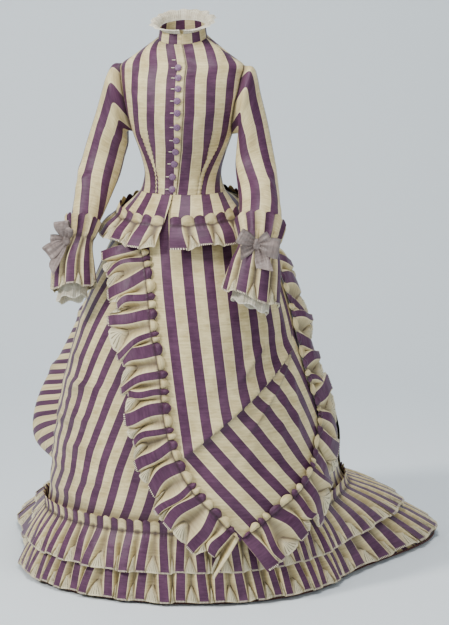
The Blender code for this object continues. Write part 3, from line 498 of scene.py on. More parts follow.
def makeCloth(name, node, grid, cut, look, held, on, closed=False, **marks):
    # cut is each point's place on the flat cloth, or each face corner's where the stripes break
    grid = np.array(grid, float)
    rows, columns = grid.shape[:2]
    faces = gridFaces(rows, columns, closed)
    flat = grid.reshape(-1, 3) - np.array([0.0, 0.0, wearHeight])
    if cut.ndim == 3:
        wide = cut.shape[1]
        i, j = np.meshgrid(np.arange(rows - 1), np.arange(faces.shape[1]), indexing="ij")
        corners = [cut[i, j], cut[i, np.minimum(j + 1, wide - 1)], cut[i + 1, np.minimum(j + 1, wide - 1)],
            cut[i + 1, j]]
        cut = np.stack(corners, axis=2)
    piece = objectFrom(name, flat, faces.reshape(-1, 4), cut, look)
    for word, values in marks.items():
        mark = piece.data.attributes.new(word, "FLOAT", "POINT")
        mark.data.foreach_set("value", values.reshape(-1).astype(np.float32))
    giveWall(piece, walls[look])
    declare(piece, node)


def areaOf(quads):
    return 0.5 * np.linalg.norm(np.cross(quads[:, 2] - quads[:, 0], quads[:, 3] - quads[:, 1]), axis=1).sum()


def declare(piece, node):
    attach(piece, "root")
    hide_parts(node)


def cutMap(across, along):
    return np.stack(np.broadcast_arrays(across, along), axis=-1)


uneven = np.array([1.0, 0.84, 1.12, 0.93, 1.06, 0.80, 1.15, 0.97, 0.88, 1.09, 0.91, 1.03, 0.86])


def unevenAt(number, low=0.0, high=1.0, shift=0):  # listed unevenness, read in turn
    return between(low, high, (uneven[(np.asarray(number, int) + shift) % len(uneven)] - 0.80) / 0.35)


def carried(place, low, high, shift=0):  # the same, carried smoothly from one pleat's crest to the next
    number = np.floor(place)
    return between(unevenAt(number, low, high, shift), unevenAt(number + 1, low, high, shift),
        eased(place - number, 0.5, 1.0))


# Bodice
bodice = {
    "waist": 0.948, "neck": 1.318, "rows": 112, "columns": (18, 10, 22),
    "armholeMiddle": 1.170, "armholeHalf": 0.083, "armholeTurn": 18.0,
    "closure": np.array([[0.940, 3.5], [0.990, 6.7], [1.057, 11.3], [1.147, 12.9], [1.223, 10.5], [1.318, 11.6]]),
    # dart seams: height, angle nearer the closing, angle nearer the side
    "dartsRight": np.array([[0.940, -21.0, -26.0], [1.015, -31.0, -36.0], [1.075, -31.0, -42.0],
        [1.120, -28.0, -52.0], [1.318, -28.0, -52.0]]),
    "dartsLeft": np.array([[0.940, 31.0, 36.0], [1.030, 48.0, 57.0], [1.075, 48.0, 68.0], [1.110, 48.0, 66.0],
        [1.318, 44.0, 62.0]]),
    "dartTop": (1.108, 1.098), "dartDepth": 0.027,
    # how far the first purple stripe's middle lies from the closing edge, by height
    "purpleRight": np.array([[0.950, 0.018], [1.050, 0.026], [1.140, 0.033], [1.300, 0.031]]),
    "purpleLeft": np.array([[0.950, 0.016], [1.300, 0.0145]]),
}


def closureAngle(height):
    return np.interp(height, bodice["closure"][:, 0], bodice["closure"][:, 1])


def armholeTurn(height):
    share = (height - bodice["armholeMiddle"]) / bodice["armholeHalf"]
    return bodice["armholeTurn"] * np.sqrt(np.maximum(0.0, 1 - share * share))


seamHalf = 0.0002  # half the gap between two pieces at a seam


def seamGap(surface, angle, height, gap=seamHalf):
    step = np.linalg.norm(surface(angle + 0.5, height) - surface(angle - 0.5, height), axis=-1)
    return gap / step


def dartPucker(away, along, depth):  # small puckers beside a seam
    return depth * mound(away, 0.007) * np.sin(along / 0.0100 * 2 * math.pi + away * 260) * 0.5


def makeFront(name, node, sideSign, darts, purple):
    heights = np.linspace(bodice["waist"], bodice["neck"], bodice["rows"])
    close = closureAngle(heights)
    side = sideSign * (90 - armholeTurn(heights))
    first = np.interp(heights, darts[:, 0], darts[:, 1])
    second = np.interp(heights, darts[:, 0], darts[:, 2])
    limit = side - sideSign * 3.0  # above the bust the seams' lines stay inside the armhole
    second = np.where(np.abs(second) > np.abs(limit), limit, second)
    first = np.where(np.abs(first) > np.abs(second) - 3.0, second - sideSign * 3.0, first)
    close = close + sideSign * seamGap(torsoPoint, close, heights)
    side = side - sideSign * seamGap(torsoPoint, side, heights)
    stops = [close, first, second, side]
    columns, zones = [], []
    for k, count in enumerate(bodice["columns"]):
        shares = np.linspace(0, 1, count + 1)[(0 if k == 0 else 1):]
        columns += [between(stops[k], stops[k + 1], s) for s in shares]
        zones += [k] * count
    angle = np.stack(columns, axis=1)
    height = np.repeat(heights[:, None], angle.shape[1], axis=1)
    taken = [np.zeros_like(heights)]
    for top in bodice["dartTop"]:
        taken.append(taken[-1] + bodice["dartDepth"] * eased(heights, top, 0.955) ** 0.9)
    zones = np.array(zones)
    arc = np.abs(arcFrom(torsoArcs, angle, height) - arcFrom(torsoArcs, close[:, None] + 0 * angle, height))
    out = np.zeros_like(angle)
    # painted shade along the closing edge where the right front lies over the left, and along the darts
    dark = 0.55 * mound(arc, 0.0016) if sideSign < 0 else 0.9 * mound(arc, 0.0028)
    surface = torsoPoint(angle, height)
    for line, top in zip((first, second), bodice["dartTop"]):
        away = np.linalg.norm(surface - torsoPoint(line, heights)[:, None, :], axis=2)
        sewn = (1 - eased(heights, top - 0.012, top))[:, None]
        out += (dartPucker(away, height, 0.0026) - 0.0014 * mound(away, 0.0026)) * sewn
        dark = dark + 0.45 * mound(away, 0.0016) * sewn
    pull = mound(np.abs(arc), 0.02)  # small pulls between the buttons
    out += 0.0007 * pull * np.sin(height / 0.028 * 2 * math.pi)
    out += mound(arc, 0.0035) * (0.0013 if sideSign < 0 else -0.0006)  # the right front's edge lies over the left
    out += creaseLift(arc, height, [
        (0.150, 1.105, 0.120, 1.045, 0.0018, 0.007), (0.165, 1.080, 0.135, 1.030, -0.0014, 0.006),
        (0.150, 1.200, 0.110, 1.165, 0.0016, 0.010), (0.120, 1.255, 0.150, 1.215, -0.0012, 0.008),
    ])
    away = np.linalg.norm(surface - torsoPoint(side, heights)[:, None, :], axis=2)
    dark = dark + 0.75 * mound(away, 0.0040)  # painted shade along the side seam and the armhole
    grid = outward(torsoPoint, angle, height, out)
    phase = stripe["purple"] / 2 * stripe["period"] - np.interp(heights, purple[:, 0], purple[:, 1])
    corners = []
    for di, dj in ((0, 0), (0, 1), (1, 1), (1, 0)):
        rows = slice(di, len(heights) - 1 + di)
        cols = slice(dj, angle.shape[1] - 1 + dj)
        shift = np.stack([t[rows] for t in taken], axis=1)[:, zones]
        u = arc[rows, cols] + shift + phase[rows, None]
        corners.append(cutMap(u, height[rows, cols]))
    if sideSign < 0:  # columns have to turn to the wearer's left
        grid = grid[:, ::-1]
        corners = [corners[1], corners[0], corners[3], corners[2]]
        corners = [c[:, ::-1] for c in corners]
        dark = dark[:, ::-1]
    makeCloth(name, node, grid, np.stack(corners, axis=2), "silk", "stretched", ["collarBand"], hollow=hollowed(dark))


def makeBack(name, node, start, end, phase):
    heights = np.linspace(bodice["waist"], bodice["neck"], bodice["rows"])
    first, last = start(heights), end(heights)
    first = first + seamGap(torsoPoint, first, heights)
    last = last - seamGap(torsoPoint, last, heights)
    angle = between(first[:, None], last[:, None], np.linspace(0, 1, 36)[None, :])
    height = np.repeat(heights[:, None], angle.shape[1], axis=1)
    middle = arcFrom(torsoArcs, angle, height) - arcFrom(torsoArcs, 180 + 0 * angle, height)
    curve = 0.060 + 0.045 * eased(height, 0.95, 1.20)  # the curved seam of the side body
    seam = np.abs(np.abs(middle) - curve)
    taken = np.where(np.abs(middle) > curve, 0.030 * (1 - eased(height, 0.95, 1.12)), 0.0) * np.sign(middle)
    out = -0.0010 * mound(seam, 0.0025) + dartPucker(seam, height, 0.0010)
    grid = outward(torsoPoint, angle, height, out)
    makeCloth(name, node, grid, cutMap(middle + taken + phase, height), "silk", "stretched", ["collarBand"])


def makeBodice():
    period = stripe["period"]
    centre = stripe["purple"] / 2 * period
    makeFront("frontRight", "bodice_front_right", -1, bodice["dartsRight"], bodice["purpleRight"])
    makeFront("frontLeft", "bodice_front_left", 1, bodice["dartsLeft"], bodice["purpleLeft"])
    makeBack("backLeft", "bodice_back_left", lambda h: 90 + armholeTurn(h), lambda h: 180 + 0 * h, centre)
    makeBack("backRight", "bodice_back_right", lambda h: 180 + 0 * h, lambda h: 270 - armholeTurn(h), centre)
    print("bodice made")


# Collar and neck frill
collar = {"rise": 0.024, "spread": (0.99, 0.93), "gap": 0.0004, "columns": 120, "phase": 0.0245}
neckFrill = {"waves": 14, "finePleats": 70, "front": 0.011, "back": 0.024, "depth": (0.0, 0.004, 0.010)}


def neckPoint(angle, spread, rise):
    base = torsoPoint(angle, bodice["neck"] + 0 * angle)
    return np.stack([base[..., 0] * spread, base[..., 1] * spread, base[..., 2] + collar["gap"] + rise], axis=-1)


def makeNeck():
    start = float(closureAngle(bodice["neck"]))
    angle = np.linspace(start + 0.3, start + 359.4, collar["columns"])
    t = np.linspace(0, 1, 7)[:, None]
    grid = neckPoint(angle + 0 * t, between(*collar["spread"], t), collar["rise"] * t)
    around = lengthAlong(grid[0])
    cut = cutMap(around + collar["phase"] + 0 * t, collar["rise"] * t)
    makeCloth("collarBand", "collar_band", grid, cut, "silk", "stretched", ["frontRight"])
    place = np.linspace(0, 1, neckFrill["finePleats"] * 8 + 1)
    turn = start + 4 + 352 * place
    t = np.linspace(0, 1, 12)[:, None]
    sideways = np.abs(np.sin(np.radians(turn))) * (np.cos(np.radians(turn)) > -0.6)
    tall = between(neckFrill["front"], neckFrill["back"], eased((1 - np.cos(np.radians(turn))) / 2, 0.0, 0.75))
    lobe = place * neckFrill["waves"]
    wave = 0.5 * np.cos(2 * math.pi * lobe) * carried(lobe, 0.6, 1.3, 2)
    fine = np.cos(2 * math.pi * neckFrill["finePleats"] * place) * 0.0011
    depth = np.interp(t, (0, 0.5, 1), neckFrill["depth"])
    spread = np.interp(t, (0, 0.4, 0.8, 1.0), (0.93, 1.03, 1.20, 1.28))
    rise = np.interp(t, (0, 0.45, 0.8, 1.0), (0.0, 0.62, 1.0, 0.86)) - 0.35 * eased(t, 0.6, 1.0) * sideways
    rise = rise + 0.12 * t * wave
    grid = neckPoint(turn + 0 * t, spread, collar["rise"] + collar["gap"] + tall * rise)
    aside = depth * wave + fine * eased(t, 0.0, 0.25)
    radians = np.radians(turn)
    grid = grid + np.stack([np.sin(radians) * aside, -np.cos(radians) * aside, 0 * aside], axis=-1)
    around = lengthAlong(grid[-1])
    makeCloth("neckFrill", "neck_frill", grid, cutMap(around + 0 * t, 0.03 * (1 - t)), "net", "gathered",
        ["collarBand"])
    print("neck made")


# Sleeves: outer x, outer z, inner x, inner z, middle y, half depth, wave
sleeveRight = np.array([
    [0.178, 1.246, 0.1400, 1.088, 0.000, 0.053, 0], [0.200, 1.190, 0.1390, 1.074, 0.000, 0.052, 0],
    [0.220, 1.125, 0.1380, 1.055, -0.002, 0.050, 0], [0.239, 1.065, 0.1460, 1.025, -0.006, 0.048, 0],
    [0.252, 1.010, 0.1540, 0.985, -0.018, 0.047, 0], [0.256, 0.965, 0.1640, 0.950, -0.042, 0.045, 0],
    [0.255, 0.920, 0.1740, 0.912, -0.072, 0.040, 0], [0.255, 0.880, 0.1860, 0.872, -0.100, 0.034, 0],
    [0.255, 0.845, 0.1940, 0.838, -0.122, 0.030, 0], [0.256, 0.818, 0.1990, 0.811, -0.138, 0.028, 0],
])
sleeveLeft = np.array([
    [0.177, 1.245, 0.1400, 1.088, 0.000, 0.052, 0], [0.191, 1.185, 0.1390, 1.072, 0.000, 0.050, 0],
    [0.207, 1.125, 0.1370, 1.050, -0.002, 0.048, 0], [0.221, 1.065, 0.1360, 1.015, -0.008, 0.048, 0],
    [0.236, 1.010, 0.1410, 0.985, -0.024, 0.049, 0], [0.252, 0.962, 0.1520, 0.955, -0.057, 0.049, 0],
    [0.266, 0.930, 0.1640, 0.925, -0.097, 0.050, 0], [0.276, 0.900, 0.1740, 0.895, -0.137, 0.048, 0],
    [0.278, 0.870, 0.1820, 0.865, -0.162, 0.044, 0], [0.276, 0.842, 0.1880, 0.838, -0.180, 0.040, 0],
])
# Cuffs, from the lower edge up to the standing heading
cuffRight = np.array([
    [0.282, 0.712, 0.1700, 0.736, -0.172, 0.060, 0.014], [0.282, 0.775, 0.1800, 0.785, -0.155, 0.050, 0.010],
    [0.2590, 0.838, 0.1916, 0.834, -0.1265, 0.0335, 0.002], [0.270, 0.886, 0.1760, 0.878, -0.102, 0.050, 0.007],
])
cuffLeft = np.array([
    [0.290, 0.706, 0.1500, 0.752, -0.216, 0.064, 0.014], [0.290, 0.788, 0.1660, 0.806, -0.202, 0.056, 0.010],
    [0.2803, 0.850, 0.1830, 0.846, -0.1760, 0.0447, 0.002], [0.290, 0.897, 0.1610, 0.890, -0.140, 0.062, 0.007],
])
laceRight = np.array([
    [0.268, 0.690, 0.1900, 0.706, -0.182, 0.040, 0.004], [0.2560, 0.772, 0.2000, 0.772, -0.1580, 0.0290, 0.002],
    [0.2516, 0.826, 0.2032, 0.820, -0.1365, 0.0228, 0.0],
])
laceLeft = np.array([
    [0.266, 0.690, 0.1740, 0.724, -0.224, 0.044, 0.004], [0.2710, 0.790, 0.1880, 0.800, -0.2000, 0.0390, 0.002],
    [0.2708, 0.850, 0.1932, 0.846, -0.1760, 0.0345, 0.0],
])
sleeve = {"turns": 72, "perRing": 7, "under": (112.0, 248.0)}
cuff = {"waves": 8, "perWave": 30, "perRing": 10, "fan": 0.034}


def ringRow(ring, ahead, side, turn, share=1.0, bulge=0.0):
    outer = np.array([ring[0] * side, ring[4], ring[1]])
    inner = np.array([ring[2] * side, ring[4], ring[3]])
    centre, reach = (outer + inner) / 2, (outer - inner) / 2
    forward = np.cross(ahead, reach)
    forward /= np.linalg.norm(forward)
    if forward[1] > 0:
        forward = -forward
    wide = np.linalg.norm(reach)
    back = ring[6] * (1 - share) - bulge + 0 * turn
    t = np.radians(turn)[:, None]
    return centre + reach * (1 - back / wide)[:, None] * np.cos(t) + forward * (ring[5] - back)[:, None] * np.sin(t)


def ringCentres(rings, side):
    return np.stack([(rings[:, 0] + rings[:, 2]) / 2 * side, rings[:, 4], (rings[:, 1] + rings[:, 3]) / 2], axis=1)


def aheadOf(centres, i):  # the way that the tube runs at one of its rings
    return centres[min(i + 1, len(centres) - 1)] - centres[max(i - 1, 0)]


def smoothRows(rows, perStep):  # more rows between the given ones, on smooth curves
    count = len(rows)
    keyed = np.concatenate([np.arange(count)[:, None], np.array(rows).reshape(count, -1)], axis=1)
    keys = np.linspace(0, count - 1, (count - 1) * perStep + 1)
    values = np.moveaxis(tableAt(keyed, keys), 0, -1)[:, 1:]
    return values.reshape(len(keys), *np.array(rows).shape[1:])


def armholeRow(side, turn):
    level = bodice["armholeMiddle"] + bodice["armholeHalf"] * np.cos(np.radians(turn))
    angle = 90 - bodice["armholeTurn"] * np.sin(np.radians(turn))
    point = torsoPoint(angle, level)
    return np.stack([(point[:, 0] + 0.0010) * side, point[:, 1], point[:, 2]], axis=1)


def makeSleeve(side, word, rings, phase, creases):
    turn = np.linspace(0, 360, sleeve["turns"] + 1)
    centres = ringCentres(rings, side)
    rows = [armholeRow(side, turn)]
    for i, ring in enumerate(rings):
        rows.append(ringRow(ring, aheadOf(centres, i), side, turn))
    tube = smoothRows(rows, sleeve["perRing"])
    middle = tube.mean(axis=1)
    armLine = np.gradient(middle, axis=0)
    armLine[:3 * sleeve["perRing"]] = middle[5 * sleeve["perRing"]] - middle[2 * sleeve["perRing"]]
    armLine /= np.linalg.norm(armLine, axis=1, keepdims=True)
    steps = np.diff(tube, axis=1)  # measured square to the arm, so that the stripes run up to the shoulder
    steps = steps - armLine[:, None] * np.sum(steps * armLine[:, None], axis=2, keepdims=True)
    lengths = np.linalg.norm(steps, axis=2)
    around = np.concatenate([np.zeros((len(tube), 1)), np.cumsum(lengths, axis=1)], axis=1)
    around = np.where(turn > 180, around - around[:, -1:], around)
    along = lengthAlong(middle)
    turns = np.where(turn > 180, turn - 360, turn)
    lift = creaseLift(turns[None, :] * 0.0009 + 0 * around, along[:, None] + 0 * around, creases)
    lift *= eased(along, 0.004, 0.03)[:, None] * eased(along[-1] - along, 0.0, 0.02)[:, None]
    centre = middle[:, None]
    offset = tube - centre
    tube = centre + offset * (1 + lift[..., None] / np.linalg.norm(offset, axis=2, keepdims=True))
    first, last = (int(round(a / 360 * sleeve["turns"])) for a in sleeve["under"])
    upper = list(range(last, sleeve["turns"])) + list(range(0, first + 1))
    for kind, columns in (("Upper", upper), ("Under", list(range(first, last + 1)))):
        piece = tube[::-1, columns].copy()
        for end, beside in ((0, 1), (-1, -2)):
            step = piece[:, beside] - piece[:, end]
            piece[:, end] += step / np.linalg.norm(step, axis=1, keepdims=True) * seamHalf
        across = around[::-1][:, columns]
        cut = cutMap(across + phase, along[::-1][:, None])
        dark = 0.8 * mound(along[::-1][:, None], 0.0050) + 0 * across  # painted shade along the armhole's seam
        if side > 0:
            piece, cut = piece[:, ::-1], cut[:, ::-1]
        node = "sleeve_" + kind.lower() + "_" + word.lower()
        makeCloth("sleeve" + kind + word, node, piece, cut, "silk", "draped", ["front" + word], hollow=hollowed(dark))


def pleatShare(x):  # flat crest, rounded groove
    groove = np.clip((x - 0.45) / 0.55, 0.0, 1.0)
    return np.where(x <= 0.45, 1.0, 0.5 + 0.5 * np.cos(2 * math.pi * groove))


def wavePlaces(waves, perWave):  # closer columns where the fine pleats of the fan are
    crest = perWave // 3
    one = np.concatenate([np.linspace(0, 0.48, crest, endpoint=False),
        np.linspace(0.48, 1.0, perWave - crest, endpoint=False)])
    return (np.arange(waves)[:, None] + one[None, :]).reshape(-1)


# one pleat at the edge: flat crest, slit, and the spread fan that comes forward in the groove
fan["across"] = np.array([0.0, 0.44, 0.485, 0.53, 0.60, 0.725, 0.85, 0.92, 0.965, 1.0])
fan["depth"] = np.array([1.0, 1.0, 0.36, 0.62, 0.92, 1.02, 0.92, 0.62, 0.36, 1.0])


def fannedShare(x, above, fanHeight):  # the pleat's depth, with its groove opened by the fan at the edge
    left = np.clip(1 - above / fanHeight, 0.0, 1.0) + 0 * x
    spread = np.maximum(left, 0.08)
    aside = x - fan["middle"]
    share = np.interp(fan["middle"] + aside / spread, fan["across"], fan["depth"])
    mask = (1 - eased(np.abs(aside), 0.235 * spread, 0.275 * spread)) * eased(left, 0.0, 0.25)
    return between(pleatShare(x) + 0 * left, share, mask)


def fanForm(x, above, fanHeight, lift=0.0012):  # the slit's bound edge, and the fine pleats between
    left = np.clip(1 - above / fanHeight, 0.0, 1.0)
    half = np.maximum(left, 0.001) * fan["half"]
    share = (x - fan["middle"]) / half
    inside = (np.abs(share) < 1) * (left > 0)
    edge = mound(np.abs(x - fan["middle"]) - half, 0.03) * eased(left, 0.0, 0.1)
    return lift * edge + inside * eased(left, 0.0, 0.15) * (np.abs(np.sin(share * fan["fine"])) * 0.0020 - 0.0010)


def puckers(away, width, place, depth):  # small gathers on both sides of a gathering line
    return depth * mound(away, width)[:, None] * (np.abs(np.sin(math.pi * 5 * place)) - 0.35)[None, :]


def pinchShade(away, place):  # painted shade along the gathering line, deepest between the puffs
    line = mound(away - 0.0005, 0.0034)
    return line * (0.95 - 0.45 * puffShare(place)) + 0.55 * (away > 0) * (1 - puffShare(place)) ** 2


# painted shade: the shares added up and held below 0.9
def hollowed(*shares):
    return np.clip(sum(np.broadcast_arrays(*shares)), 0.0, 0.9)


def puffShare(place):  # a puff for each colour of the stripe, pinched between
    x = place % 1
    inside = np.where(x < stripe["purple"], x / stripe["purple"], (x - stripe["purple"]) / (1 - stripe["purple"]))
    puff = np.sin(np.clip(inside, 0, 1) * math.pi) ** 0.65
    return puff * between(0.72, 1.0, unevenAt(np.floor(place * 2), 0.0, 1.0, 1))


def makeCuff(side, word, rings, lace):
    place = wavePlaces(cuff["waves"], cuff["perWave"])
    x = place % 1
    turn = place / cuff["waves"] * 360
    fine = smoothRows(rings, cuff["perRing"])
    centres = ringCentres(fine, side)
    rows = []
    span = lengthAlong(centres)
    for i, ring in enumerate(fine):
        ahead = aheadOf(centres, i)
        level = i / cuff["perRing"]
        gathered = math.exp(-(((level - 2) / 0.30) ** 2))
        crown = float(eased(level, 2.05, 2.3))
        bulge = fanForm(x, span[i], cuff["fan"]) + 0.0008 * gathered * np.sin(2 * math.pi * 5 * place)
        share = between(fannedShare(x, span[i], cuff["fan"]) * carried(place, 0.75, 1.1, 4), puffShare(place), crown)
        ruffled = ringRow(ring, ahead, side, turn, share,
            bulge + 0.006 * crown * (1 - puffShare(place)) - 0.004 * crown * puffShare(place))
        sway = carried(place, -0.007, 0.007, 2) * max(0.0,
            1 - level) + crown * (puffShare(place) - 0.7) * 0.010 * (level - 2)
        rows.append(ruffled + sway[:, None] * ahead / np.linalg.norm(ahead))
    grid = np.array(rows)
    away = (np.arange(len(fine)) / cuff["perRing"] - 2)[:, None] * 0.045
    # painted shade in the fans' grooves and along the gathering line
    groove = (1 - fannedShare(x[None, :], span[:, None], cuff["fan"])) * (away < 0)
    hollow = hollowed(0.8 * groove, pinchShade(away, place))
    wide = np.append(place, cuff["waves"]) * stripe["period"]
    cut = cutMap(wide[None, :], span[:, None])
    if side > 0:
        grid, cut = np.roll(grid[:, ::-1], 1, axis=1), cut[:, ::-1]
        hollow = np.roll(hollow[:, ::-1], 1, axis=1)
    makeCloth("cuffFlounce" + word, "cuff_flounce_" + word.lower(), grid, cut, "frill", "gathered",
              ["sleeveUpper" + word], closed=True, hollow=hollow)
    place = np.linspace(0, 1, 40 * 8, endpoint=False)
    fine = smoothRows(lace, 8)
    centres = ringCentres(fine, side)
    span = lengthAlong(centres)
    rows = []
    for i, ring in enumerate(fine):
        ahead = aheadOf(centres, i)
        share = 0.5 + 0.5 * np.cos(2 * math.pi * 10 * place)
        bulge = -0.0012 * (0.5 + 0.5 * np.cos(2 * math.pi * 40 * place)) * (1 - 0.4 * i / len(fine))
        sway = 0.0045 * np.sin(2 * math.pi * 5 * place + 0.8) * max(0.0, 1 - i / 8)
        rows.append(ringRow(ring, ahead, side, place * 360, share, bulge) + sway[:,
            None] * ahead / np.linalg.norm(ahead))
    grid = np.array(rows)
    around = np.append(place, 1.0) * 40 / 260.0 * 4
    cut = cutMap(around[None, :], span[:, None])
    if side > 0:
        grid, cut = np.roll(grid[:, ::-1], 1, axis=1), cut[:, ::-1]
    makeCloth("cuffLace" + word, "cuff_lace_" + word.lower(), grid, cut, "net", "gathered", ["sleeveUpper" + word],
        closed=True)


def makeSleeves():
    creasesRight = [
        (-0.01, 0.20, 0.06, 0.26, 0.0030, 0.012), (0.02, 0.27, 0.08, 0.24, 0.0034, 0.011),
            (-0.05, 0.23, 0.00, 0.29, -0.0026, 0.010),
        (0.00, 0.06, 0.04, 0.02, 0.0022, 0.010), (0.05, 0.10, 0.08, 0.15, 0.0026, 0.012),
            (-0.06, 0.08, -0.09, 0.15, 0.0024, 0.012),
        (0.01, 0.33, 0.07, 0.36, -0.0018, 0.009), (-0.04, 0.34, -0.08, 0.30, 0.0020, 0.010),
    ]
    makeSleeve(-1, "Right", sleeveRight, 0.004, creasesRight)
    makeSleeve(1, "Left", sleeveLeft, 0.030, [(x0 + 0.01, y0 - 0.01, x1, y1 + 0.01, rise, width) for x0, y0, x1, y1,
        rise, width in creasesRight])
    makeCuff(-1, "Right", cuffRight, laceRight)
    makeCuff(1, "Left", cuffLeft, laceLeft)
    print("sleeves made")


# Skirt
skirt = {
    "rows": 60, "low": 0.006, "high": 0.952,
    "pieces": (  # name, node, start, end, columns, and where its stripes are measured from
        ("skirtSideRight", "skirt_side_right", -112.0, -38.0, 56, -112.0),
            ("skirtFront", "skirt_front", -38.0, 38.0, 44, -112.0),
        ("skirtSideLeft", "skirt_side_left", 38.0, 112.0, 56, 112.0),
            ("skirtBack", "skirt_back", 112.0, 248.0, 72, 180.0)),
}


def makeSkirt():
    heights = np.linspace(skirt["low"], skirt["high"], skirt["rows"])
    for name, node, start, end, columns, edge in skirt["pieces"]:
        first = start + seamGap(skirtPoint, start + 0 * heights, heights)
        last = end - seamGap(skirtPoint, end + 0 * heights, heights)
        angle = between(first[:, None], last[:, None], np.linspace(0, 1, columns)[None, :])
        height = np.repeat(heights[:, None], columns, axis=1)
        across = arcFrom(skirtArcs, angle, height) - arcFrom(skirtArcs, edge + 0 * angle, height)
        out, hollow = np.zeros_like(angle), np.zeros_like(angle)
        if edge < 0:  # soft cross folds where the cloth hangs over the flounce
            out = creaseLift(angle * 0.0045, height, sideFolds)
            shown = 1 - eased(angle, -30.0, -8.0)
            out = np.maximum(out * shown, -0.0010) * eased(height, 0.170, 0.195)
            kink = np.interp(height, sideKinks[:, 0], sideKinks[:, 1])
            across = across - 1.5 * kink * (1 - 0.70 * eased(angle, -64.0, -34.0)) * (1 - eased(angle, -34.0, -16.0))
            # painted shadow under the cross folds
            hollow = hollow + 75.0 * np.clip(creaseLift(angle * 0.0045, height + 0.007, sideFolds), 0, 0.006) * shown
        # painted shade along the top of the upper flounce
        hollow = hollow + 0.5 * mound(height - upperFlounce[-1, 0] - 0.002, 0.012)
        grid = outward(skirtPoint, angle, height, out)
        makeCloth(name, node, grid, cutMap(across + 0.006, height), "silk", "hung",
                  ["peplumFrontRight", "peplumFrontLeft"], hollow=hollowed(hollow))
    print("skirt made")


sideKinks = np.array([  # height, how far the folds push the stripes to the front
    [0.150, 0.004], [0.205, 0.005], [0.225, 0.001], [0.244, -0.004], [0.271, 0.013], [0.285, 0.010], [0.313, 0.001],
    [0.340, -0.005], [0.396, -0.001], [0.410, 0.004], [0.455, 0.000], [0.487, -0.005], [0.500, 0.003], [0.560, 0.000],
])

sideFolds = [  # across, height at both ends, lift, half width
    (-0.34, 0.388, -0.14, 0.412, 0.0050, 0.009), (-0.33, 0.236, -0.12, 0.222, 0.0050, 0.009),
        (-0.20, 0.272, -0.10, 0.280, 0.0030, 0.007),
    (-0.36, 0.300, -0.20, 0.285, 0.0045, 0.012), (-0.42, 0.335, -0.30, 0.350, 0.0040, 0.012),
    (-0.30, 0.255, -0.18, 0.262, 0.0040, 0.009), (-0.25, 0.330, -0.15, 0.345, 0.0040, 0.011),
    (-0.40, 0.430, -0.28, 0.400, 0.0040, 0.014), (-0.26, 0.470, -0.17, 0.500, 0.0055, 0.010),
    (-0.28, 0.440, -0.20, 0.420, 0.0040, 0.010), (-0.45, 0.500, -0.33, 0.470, 0.0035, 0.016),
    (-0.30, 0.540, -0.22, 0.560, 0.0030, 0.012), (-0.36, 0.650, -0.24, 0.620, 0.0025, 0.014),
    (-0.46, 0.262, -0.34, 0.250, 0.0040, 0.010), (-0.33, 0.375, -0.24, 0.385, -0.0012, 0.012),
]

lowerFlounce = np.array([[0.002, 0.0075, 0.019], [0.105, 0.0034, 0.003]])
upperFlounce = np.array([[0.070, 0.0135, 0.022], [0.165, 0.0021, 0.003], [0.194, 0.0075, 0.008]])
flounce = {
    "pieces": (("Right", -112.0, -38.0, 12), ("Front", -38.0, 38.0, 11), ("Left", 38.0, 112.0, 12),
        ("Back", 112.0, 248.0, 28)),
    "perWave": 28, "rows": 24, "covered": (4.0, 74.0, 8.0, 0.2), "fan": 0.044, "scallop": 0.005, "slant": 0.22,
}


def coveredShare(angle):
    low, high, ease, left = flounce["covered"]
    inside = eased(angle, low - ease, low) * (1 - eased(angle, high, high + ease))
    return between(1.0, left, inside)


